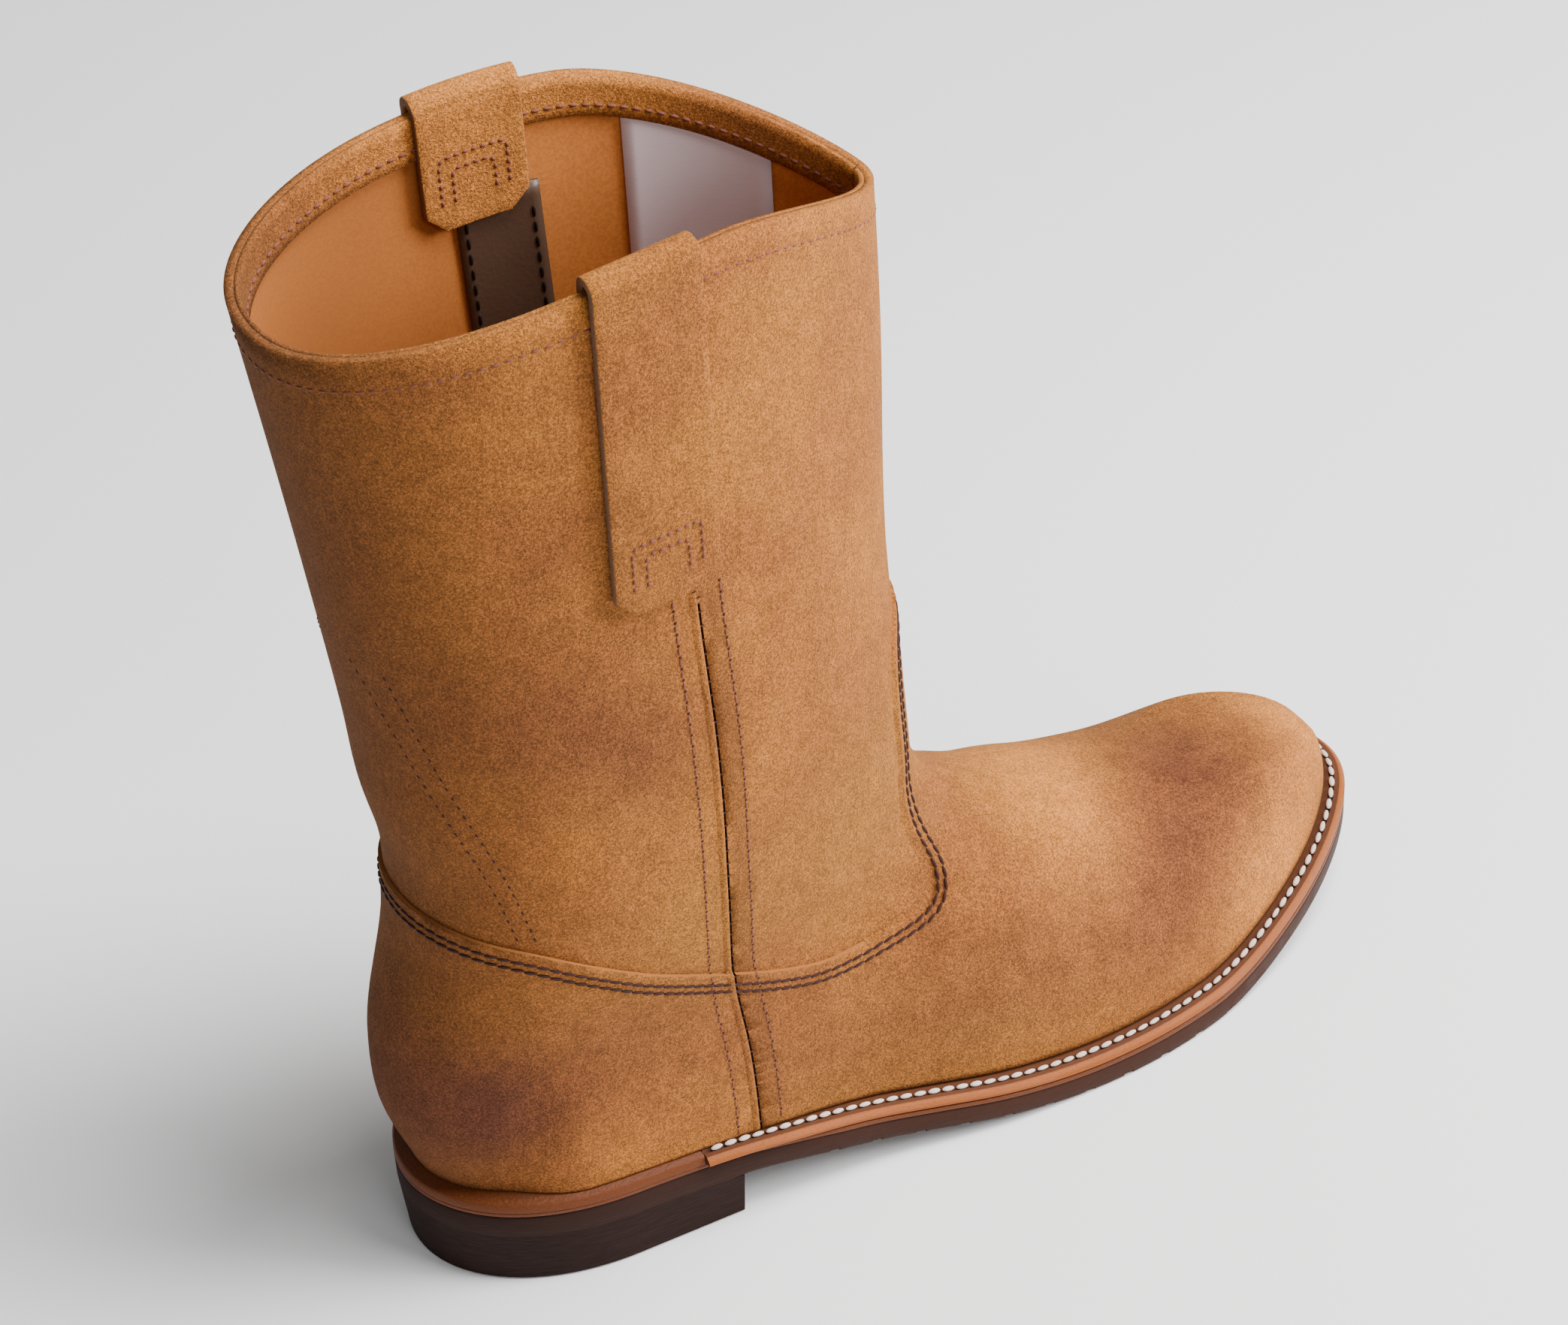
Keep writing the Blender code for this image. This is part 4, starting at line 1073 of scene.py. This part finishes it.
seam_rows, hole_shadow_rows, whip_rows = [], [], []
for side in (-1, 1):
    for away in (-0.0062, 0.0066):
        xs = seam_x(seam_heights) + away
        seam_rows.append(on_panels(xs, seam_heights, side))
        hole_shadow_rows.append(on_panels(xs, seam_heights + 0.0017, side))
    whip_rows.append(on_panels(seam_x(seam_heights) + SEAM_WIDTH / 4, seam_heights, side, 0.0001 + 0 * seam_heights))
stitch_rows("seam_stitches", seam_rows, 0.0034, 0.62, 0.00034, mauve_thread, sink=0.45)
# painted shadow: dark beads stand in for the shade inside the needle holes at each seam stitch
stitch_rows("seam_hole_shadows", hole_shadow_rows, 0.0034, 0.30, 0.00050, dark_thread, sink=0.75)
stitch_rows("whip_stitches", whip_rows, 0.0042, 0.42, 0.00024, dark_thread, sink=0.5, turned=True)

# Counter pocket: a faint double row on the shaft's back, where the stiffener's top is sewn in.
pocket_rows = []
for side in (-1, 1):
    for away in (-0.0019, 0.0019):
        z = np.linspace(0.199, 0.116, 50)
        x = smooth(((0.110, -0.0105), (0.140, -0.0185), (0.170, -0.0285), (0.200, -0.0368)))(z) + away
        pocket_rows.append(wall(x, z, side))
stitch_rows("counter_pocket_stitches", pocket_rows, 0.0030, 0.45, 0.00038, dark_thread, sink=0.65)

# Collar facing: a narrow suede band turned inside the rim, sewn through to the outside.
FACING_DEPTH = 0.0108
FACING_THICKNESS = 0.0011
STITCH_LINE = 0.0078


def rim_band(stations, drops, out):
    """Closed rows round the shaft at set drops below the rim, out from the form's surface."""
    rows = upper_rows(np.array([6.2, 6.5, 6.8, 7.0]), stations)
    rim, below = rows[-1], rows[0]
    down = below - rim
    down /= np.linalg.norm(down, axis=-1, keepdims=True)
    around = np.roll(rim, -1, 0) - np.roll(rim, 1, 0)
    normal = np.cross(around, -down)
    normal /= np.linalg.norm(normal, axis=-1, keepdims=True)
    made = []
    for drop in drops:
        points = rim + down * drop
        made.append((points + normal * (out + crease(points))[:, None], normal))
    return made


facing_rows = [points for points, _ in rim_band(150, (0.0, 0.003, 0.006, 0.0085, FACING_DEPTH), -WALL - 0.0001)]
facing_bm = loft(facing_rows, closed=True, capped=False)
facing_bm.normal_update()
if min(facing_bm.faces, key=lambda f: f.calc_center_median().x).normal.x < 0:
    bmesh.ops.reverse_faces(facing_bm, faces=facing_bm.faces)
facing = finish_piece("collar_facing", facing_bm, [suede])
thicken(facing, FACING_THICKNESS, FACING_THICKNESS)
collar_outside = rim_band(260, (STITCH_LINE,), 0.0)
collar_inside = rim_band(260, (STITCH_LINE,), -WALL - FACING_THICKNESS - 0.0001)
collar_inside = [(points, -normals) for points, normals in collar_inside]
stitch_rows("collar_stitches", collar_outside, 0.0030, 0.62, 0.00040, mauve_thread, sink=0.5)
stitch_rows("facing_stitches", collar_inside, 0.0030, 0.70, 0.00050, mauve_thread, sink=0.4)

# Seam tape: a dark strip that covers each side seam inside the shaft, stitched along both edges.
TAPE_WIDTH = 0.0215
TAPE = (0.050, 0.024, 0.013)
tape_finish = Finish("seam_tape", 0.42, coat=0.15)
tape_grain = tape_finish.noise(900.0, 2.0)
tape_finish.set("Base Color", tape_finish.mix(tape_finish.noise(60.0, 3.0), TAPE, (0.075, 0.042, 0.026)))
tape_finish.bump(tape_grain, 0.0002, 0.4)
black_thread = thread_finish("black_thread", (0.010, 0.007, 0.006), 0.5)


def inside_strip(name, side, centre, width, low, high, thickness, material, columns=11, rows=60):
    """Thin strip lying on the shaft's inside; centre gives its x by height, high its top by x."""
    sections = []
    for share in np.linspace(-0.5, 0.5, columns):
        xs = centre(high(centre(low)) + 0 * low) + share * width
        heights = low + (high(xs) - low) * np.linspace(0, 1, rows)
        points, _ = wall(centre(heights) + share * width, heights, side, -WALL - 0.00025)
        sections.append(points)
    bm = loft(np.stack(sections, 1), closed=False, capped=False)
    bm.normal_update()
    if sum(f.normal.y for f in bm.faces) * side > 0:
        bmesh.ops.reverse_faces(bm, faces=bm.faces)
    strip = finish_piece(name, bm, [material])
    thicken(strip, thickness, thickness)


tape_rows = []
for side, where in ((-1, "lateral"), (1, "medial")):
    inside_strip("seam_tape_" + where, side, seam_x, TAPE_WIDTH, 0.040, lambda x: 0.274 + 0 * x, 0.0008,
                 tape_finish.material)
    heights = np.linspace(0.050, 0.268, 90)
    for share in (-0.40, 0.40):
        points, normals = wall(seam_x(heights) + share * TAPE_WIDTH, heights, side, -WALL - 0.00105)
        tape_rows.append((points, -normals))
stitch_rows("tape_stitches", tape_rows, 0.0042, 0.75, 0.00045, black_thread, sink=0.3)

# Woven label: a plain white satin tab sewn inside the front, with nothing on it.
LABEL_WIDTH = 0.031
LABEL_MIDDLE = 0.0785
label_finish = Finish("woven_label", 0.55, sheen=0.2)
weave = label_finish.node("TexWave", {"wave_type": "BANDS", "bands_direction": "Z"},
                          {"Vector": label_finish.place, "Scale": 900.0, "Distortion": 0.6})
label_finish.set("Base Color", label_finish.mix(weave, (0.72, 0.60, 0.62), (0.60, 0.49, 0.51)))
label_finish.bump(weave, 0.0001, 0.4)
inside_strip("woven_label", 1, lambda z: LABEL_MIDDLE + 0 * z, LABEL_WIDTH, 0.205,
             lambda x: rim_at(x)[0] - FACING_DEPTH + 0.0004, 0.0005, label_finish.material)

# Pull straps: suede loops folded over the collar and sewn down with a double arch of stitches.
STRAP_MIDDLE = LAST_BACK + SHAFT_LENGTH * STRAP_PLACE
strap_suede = suede_finish("strap_suede", 0.93)
cut_edge = Finish("cut_edge", 0.9)
cut_edge.set("Base Color", cut_edge.mix(cut_edge.noise(1200.0), (0.10, 0.045, 0.020), (0.20, 0.10, 0.05)))
cut_edge.bump(cut_edge.noise(1600.0), 0.0004, 0.8)


def strap_leg(side, drop, t, across, out):
    """Points across the strap at a share of a leg, from its end (0) to the rim (1)."""
    half = STRAP_WIDTH / 2 - max(0.0, STRAP_CHAMFER - t * drop)
    xs = STRAP_MIDDLE + across * half
    zs = rim_at(xs)[0] - (1 - t) * drop
    return wall(xs, zs, side, out)


def build_strap(name, side, node):
    across = np.linspace(-1, 1, 13)
    sections = []
    for t in np.concatenate([[0, 0.02, 0.04], np.linspace(STRAP_CHAMFER / STRAP_DROP, 1, 44)]):
        sections.append(strap_leg(side, STRAP_DROP, t, across, STRAP_GAP)[0])
    xs = STRAP_MIDDLE + across * STRAP_WIDTH / 2
    rim = rim_at(xs)[0]
    top, normals = wall(xs, rim, side, -WALL / 2)
    for angle in np.linspace(0, math.pi, 16)[1:-1]:
        radius = WALL / 2 + STRAP_GAP + 0.0006 * math.sin(angle)
        bent = top + normals * radius * math.cos(angle)
        bent[:, 2] += radius * math.sin(angle)
        sections.append(bent)
    for t in np.concatenate([[0, 0.06, 0.12], np.linspace(STRAP_CHAMFER / STRAP_INSIDE, 1, 16)])[::-1]:
        sections.append(strap_leg(side, STRAP_INSIDE, t, across, -WALL - STRAP_GAP - FACING_THICKNESS * 0.2)[0])
    bm = loft(sections, closed=False, capped=False)
    bm.normal_update()
    lowest = min(bm.faces, key=lambda f: f.calc_center_median().z)
    if lowest.normal.y * side < 0:
        bmesh.ops.reverse_faces(bm, faces=bm.faces)
    strap = finish_piece(name, bm, [strap_suede, cut_edge.material], bevel=0.0004)
    modifier = strap.modifiers.new("thickness", "SOLIDIFY")
    modifier.thickness = STRAP_THICKNESS
    modifier.offset = 1.0
    modifier.material_offset_rim = 1
    strap.modifiers.move(1, 0)
    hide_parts(node)


def arch_rows(side, drop, base, height, out, flip):
    """Double inverted U of stitches near the end of a strap's leg."""
    rows = []
    for shrink in (0.0, 0.0034):
        half = 0.0088 - shrink
        tall = height - shrink
        outline = [(-half, 0), (-half, tall - 0.0012), (-half + 0.0012, tall), (half - 0.0012, tall),
                   (half, tall - 0.0012), (half, 0)]
        xs, zs = [], []
        for (x0, z0), (x1, z1) in zip(outline, outline[1:]):
            xs += list(np.linspace(x0, x1, 12)[:-1])
            zs += list(np.linspace(z0, z1, 12)[:-1])
        x = STRAP_MIDDLE + np.array(xs)
        z = rim_at(x)[0] - drop + base + np.array(zs)
        points, normals = wall(x, z, side, out)
        rows.append((points, normals * flip))
    return rows


build_strap("pull_strap_outer_leg", -1, "pull_strap_lateral")
build_strap("pull_strap_inner_leg", 1, "pull_strap_medial")
strap_rows = []
for side in (-1, 1):
    outside = STRAP_GAP + STRAP_THICKNESS
    strap_rows += arch_rows(side, STRAP_DROP, 0.0065, 0.0125, outside, 1)
    strap_rows += arch_rows(side, STRAP_INSIDE, 0.0065, 0.0125, -WALL - outside - 0.0002, -1)
stitch_rows("strap_stitches", strap_rows, 0.0022, 0.66, 0.00048, mauve_thread, sink=0.4)

# Welt: a leather strip sewn to the upper round the forefoot and waist. Its top is dark from the upper out past the
# stitch groove, with cream lockstitches lying in the groove; its rounded edge is bare orange tan.
WELT_TAN = (0.27, 0.074, 0.014)
WELT_DARK = (0.070, 0.024, 0.011)
GROOVE_PLACE = 0.0033
GROOVE_WIDTH = 0.0016


def edge_at(share, outset, side):
    """Plan point of a layer's edge."""
    return plan_edge(np.array([share]), outset)[side][0]


def welt_path(start, count):
    out = start + (1 - start) * np.sin(0.5 * np.pi * np.arange(count) / (count - 1))
    return [(s, 0) for s in out] + [(s, 1) for s in out[-2::-1]]


def welt_ring(start, profile, count=150):
    sections = []
    for share, side in welt_path(start, count):
        section = []
        for outset, depth in profile:
            x, y = edge_at(share, outset, side)
            section.append((x, y, float(feather(x)) - depth))
        sections.append(section)
    return loft(sections)


welt_finish = Finish("welt_leather", 0.42, shine=0.14)
welt_cloud = welt_finish.noise(70.0, 3.0)
welt_fibre = welt_finish.noise(1400.0, 2.0, stretch=(1.0, 1.0, 3.0))
welt_finish.set("Base Color", welt_finish.mix(welt_finish.step(welt_fibre, 0.5, 0.8) * 0.5 + welt_cloud * 0.3,
                                              WELT_TAN, (0.14, 0.038, 0.009)))
welt_finish.bump(welt_fibre, 0.0003, 0.5)
welt_top = Finish("welt_top", 0.5, shine=0.2)
top_fibre = welt_top.noise(1000.0, 2.0)
welt_top.set("Base Color", welt_top.mix(welt_top.noise(80.0, 3.0), WELT_DARK, (0.095, 0.032, 0.013)))
welt_top.bump(top_fibre, 0.0003, 0.5)
top = GAP
bottom = GAP + WELT_THICKNESS
welt_profile = (
    (-WELT_SEAT, top),
    (GROOVE_PLACE - GROOVE_WIDTH / 2, top),
    (GROOVE_PLACE - GROOVE_WIDTH / 4, top + 0.0006),
    (GROOVE_PLACE + GROOVE_WIDTH / 4, top + 0.0006),
    (GROOVE_PLACE + GROOVE_WIDTH / 2, top),
    (WELT_EDGE - 0.0016, top),
    (WELT_EDGE - 0.0012, top + 0.0001),
    (WELT_EDGE - 0.0005, top + 0.0006),
    (WELT_EDGE, top + 0.0012),
    (WELT_EDGE, bottom - 0.0004),
    (WELT_EDGE - 0.0004, bottom),
    (-WELT_SEAT, bottom),
)
welt_bm = welt_ring(WELT_END / LAST_LENGTH, welt_profile)
welt = finish_piece("welt_strip", welt_bm, [welt_finish.material, welt_top.material])
rim_count = len(welt_profile)
for i, polygon in enumerate(welt.data.polygons):
    if i % rim_count < 5:
        polygon.material_index = 1
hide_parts("welt")
cream_thread = thread_finish("cream_thread", (0.80, 0.66, 0.58), 0.6)
welt_line = []
for share, side in welt_path((WELT_END + 0.002) / LAST_LENGTH, 200):
    x, y = edge_at(share, GROOVE_PLACE, side)
    welt_line.append((x, y, float(feather(x)) - top))
welt_up = np.tile((0.0, 0.0, 1.0), (len(welt_line), 1))
stitch_rows("welt_stitches", [(welt_line, welt_up)], 0.0040, 0.90, 0.00080, cream_thread,
            sink=0.25, wobble=0.12, tilt=0.10)

# Midsole: a full-length leather layer; its bare edge shows under the welt and all round the heel.
midsole_finish = Finish("midsole_leather", 0.40, shine=0.14)
mid_fibre = midsole_finish.noise(1200.0, 3.0, stretch=(1.0, 1.0, 4.0))
midsole_finish.set("Base Color", midsole_finish.mix(mid_fibre, (0.160, 0.042, 0.009), (0.060, 0.016, 0.005)))
midsole_finish.bump(mid_fibre, 0.0003, 0.6)


def sole_stations(start, end, count):
    wave = (1 - np.cos(np.pi * np.arange(count) / (count - 1))) / 2
    return start + (end - start) * wave


def sole_edge(stations):
    """How far the sole stands out from the feather line: less round the heel."""
    return np.interp(stations, (0.26, 0.36), (HEEL_EDGE, WELT_EDGE))


def sole_layer(stations, profile):
    corners = [(plan_edge(stations, outset[:, None]), depth) for outset, depth in profile]

    def raised(points, depth):
        return np.column_stack([points, feather(points[:, 0]) - depth])

    sections = [raised(sides[0], depth) for sides, depth in corners]
    sections += [raised(sides[1], depth) for sides, depth in corners[::-1]]
    return np.stack(sections, 1)


stations = sole_stations(0, 1, 170)
out = sole_edge(stations)
layer_top = 2 * GAP + WELT_THICKNESS
layer_bottom = layer_top + MIDSOLE_THICKNESS
midsole_bm = loft(sole_layer(stations, ((out - 0.0003, layer_top), (out, layer_top + 0.0003),
                                        (out, layer_bottom - 0.0002), (out - 0.0002, layer_bottom))))
midsole = finish_piece("midsole_edge", midsole_bm, [midsole_finish.material], smooth_angle=70)
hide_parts("midsole")
rand_stations = sole_stations(0, WELT_END / LAST_LENGTH * 2, 120)
rand_stations = np.append(rand_stations[rand_stations < (WELT_END - GAP) / LAST_LENGTH],
                          (WELT_END - GAP) / LAST_LENGTH)
rand_out = 0 * rand_stations + HEEL_EDGE
rand_bm = loft(sole_layer(rand_stations, ((rand_out - 0.0006, GAP), (rand_out - 0.0001, GAP + 0.0005),
                                          (rand_out, layer_top - 0.00005))))
rand = finish_piece("heel_rand", rand_bm, [midsole_finish.material], smooth_angle=70)
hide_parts("midsole")

# Outsole: dark brown rubber with fine cross grooves; its side is trimmed and lightly brushed, and toward the heel it
# is painted darker as shade.
RUBBER = (0.044, 0.015, 0.008)
rubber_finish = Finish("outsole_rubber", 0.5, shine=0.12)
brushed = rubber_finish.noise(700.0, 3.0, 0.6, stretch=(0.25, 0.25, 3.0))
RUBBER_PAINTED_SHADE = (0.019, 0.0065, 0.0040)
rubber = rubber_finish.mix(brushed, RUBBER, tuple(0.62 * c for c in RUBBER))
# painted shade: the rubber darkens toward the back of the boot, away from the key light
shade_toward_heel = rubber_finish.spot((-0.020, 0.0, 0.020), 0.16)
rubber_finish.set("Base Color", rubber_finish.mix(shade_toward_heel, rubber, RUBBER_PAINTED_SHADE))
rubber_finish.set("Roughness", 0.50 + 0.25 * brushed)
rubber_finish.bump(brushed, 0.0003, 0.5)
sole_top = layer_bottom + GAP
ahead = np.interp(stations, (0.25, 0.29), (0.0, 1.0))
outsole_rows = sole_layer(stations, ((out - 0.0004, sole_top), (out, sole_top + 0.0005),
                                     (out, STACK - 0.0012), (out - 0.0004 * ahead, STACK - 0.0004),
                                     (out - 0.0011 * ahead, STACK)))
outsole_rows[..., 2] = np.maximum(outsole_rows[..., 2], 0.0)
outsole = finish_piece("outsole_rubber", loft(outsole_rows), [rubber_finish.material])
grooves_bm = bmesh.new()
count = int(0.62 * LAST_LENGTH / TREAD_PITCH)
first = 0.66 * LAST_LENGTH - (count // 2 + 0.5) * TREAD_PITCH + 0.015 * LAST_LENGTH
for i in range(count):
    x = LAST_BACK + first + i * TREAD_PITCH
    z = max(float(underside(share_of(x))), 0.0)
    slope = float(underside(share_of(x + 0.002)) - underside(share_of(x - 0.002))) / 0.004
    bar = bmesh.ops.create_cube(grooves_bm, size=1)["verts"]
    bmesh.ops.scale(grooves_bm, vec=(TREAD_WIDTH, 2 * BALL_WIDTH, 2 * TREAD_DEPTH), verts=bar)
    turn = Matrix.Translation((x, 0, z)) @ Matrix.Rotation(-math.atan(slope), 4, "Y")
    bmesh.ops.transform(grooves_bm, matrix=turn, verts=bar)
tread = cutter("tread", grooves_bm)
boolean(outsole, "DIFFERENCE", tread)
apply_all(outsole, tread)
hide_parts("outsole")

# Heel: a block of the same rubber, trimmed flush and brushed in fine level lines, its colour painted darker than the
# outsole's as shade at the back.
heel_finish = Finish("heel_rubber", 0.5, shine=0.08)
lines = heel_finish.noise(1500.0, 2.0, 0.6, stretch=(0.12, 0.12, 1.0))
# painted shade: the same rubber at about half the outsole's colour
heel_finish.set("Base Color", heel_finish.mix(lines, (0.020, 0.0068, 0.0042), (0.010, 0.0035, 0.0025)))
heel_finish.set("Roughness", 0.50 + 0.2 * lines)
heel_finish.bump(lines, 0.0003, 0.5)
heel_stations = sole_stations(0, 2 * float(share_of(BREAST)), 140)
heel_stations = np.append(heel_stations[heel_stations < share_of(BREAST)], share_of(BREAST))
heel_out = 0 * heel_stations + HEEL_EDGE
heel_rows = sole_layer(heel_stations, ((heel_out, STACK), (heel_out - HEEL_TAPER, STACK),
                                       (heel_out - HEEL_TAPER - HEEL_CHAMFER, STACK)))
heel_rows[:, (1, 4), 2] = HEEL_CHAMFER
heel_rows[:, (2, 3), 2] = 0.0
heel = finish_piece("heel_block", loft(heel_rows), [heel_finish.material], smooth_angle=30)
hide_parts("heel")

# Insole: the frame's own board, in smooth tan leather.
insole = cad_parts["insole"]
insole_finish = Finish("insole_leather", 0.5)
insole_finish.set("Base Color", insole_finish.mix(insole_finish.noise(60.0, 3.0), (0.40, 0.19, 0.075),
                                                  (0.30, 0.13, 0.05)))
insole_finish.bump(insole_finish.noise(1400.0), 0.0002, 0.4)
insole.data.materials.clear()
insole.data.materials.append(insole_finish.material)

# Studio: a pale floor, a soft key light from ahead of the boot, and a pale surround.
FLOOR = (0.86, 0.86, 0.86)
floor_bm = bmesh.new()
bmesh.ops.create_grid(floor_bm, x_segments=1, y_segments=1, size=6.0)
floor_mesh = bpy.data.meshes.new("floor")
floor_bm.to_mesh(floor_mesh)
floor_bm.free()
floor = bpy.data.objects.new("floor", floor_mesh)
bpy.context.scene.collection.objects.link(floor)
floor_finish = Finish("floor", 0.9)
floor_finish.set("Base Color", (*FLOOR, 1.0))
floor_mesh.materials.append(floor_finish.material)


def soft_light(name, place, aim, size, power):
    light = bpy.data.lights.new(name, "AREA")
    light.shape = "DISK"
    light.size = size
    light.energy = power
    lamp = bpy.data.objects.new(name, light)
    lamp.location = place
    lamp.rotation_euler = (Vector(aim) - Vector(place)).to_track_quat("-Z", "Y").to_euler()
    bpy.context.scene.collection.objects.link(lamp)


MIDDLE = (0.09, 0.0, 0.12)
soft_light("key", (1.28, -0.70, 0.90), MIDDLE, 0.8, 44.0)
soft_light("top", (0.45, -0.25, 1.60), MIDDLE, 0.8, 42.0)
soft_light("fill", (0.1, -1.7, 0.9), MIDDLE, 1.0, 9.0)
world = bpy.data.worlds.new("surround")
world.use_nodes = True
world.node_tree.nodes["Background"].inputs["Color"].default_value = (1.0, 1.0, 1.0, 1.0)
world.node_tree.nodes["Background"].inputs["Strength"].default_value = 0.30
bpy.context.scene.world = world

# Camera: the photograph's angle to the boot, worked out from the boot's own outline.
CAMERA_AZIMUTH = math.radians(-27.5)
CAMERA_ELEVATION = math.radians(38.2)
CAMERA_ROLL = math.radians(2.91)
CAMERA_DISTANCE = 0.9944
CAMERA_AIM = Vector((0.0895, 0.0, 0.130))
CAMERA_LENS = 90.0
CAMERA_SHIFT = (-0.027, 0.016)
away = Vector((math.sin(CAMERA_AZIMUTH) * math.cos(CAMERA_ELEVATION),
               -math.cos(CAMERA_AZIMUTH) * math.cos(CAMERA_ELEVATION), math.sin(CAMERA_ELEVATION)))
level = Vector((math.cos(CAMERA_AZIMUTH), math.sin(CAMERA_AZIMUTH), 0.0))
upward = away.cross(level)
right = level * math.cos(CAMERA_ROLL) - upward * math.sin(CAMERA_ROLL)
camera_up = level * math.sin(CAMERA_ROLL) + upward * math.cos(CAMERA_ROLL)
camera_data = bpy.data.cameras.new("camera")
camera_data.lens = CAMERA_LENS
camera_data.sensor_width = 36.0
camera_data.sensor_fit = "HORIZONTAL"
camera_data.shift_x, camera_data.shift_y = CAMERA_SHIFT
camera = bpy.data.objects.new("camera", camera_data)
turned = Matrix((right, camera_up, away)).transposed().to_4x4()
camera.matrix_world = Matrix.Translation(CAMERA_AIM + away * CAMERA_DISTANCE) @ turned
bpy.context.scene.collection.objects.link(camera)
bpy.context.scene.camera = camera
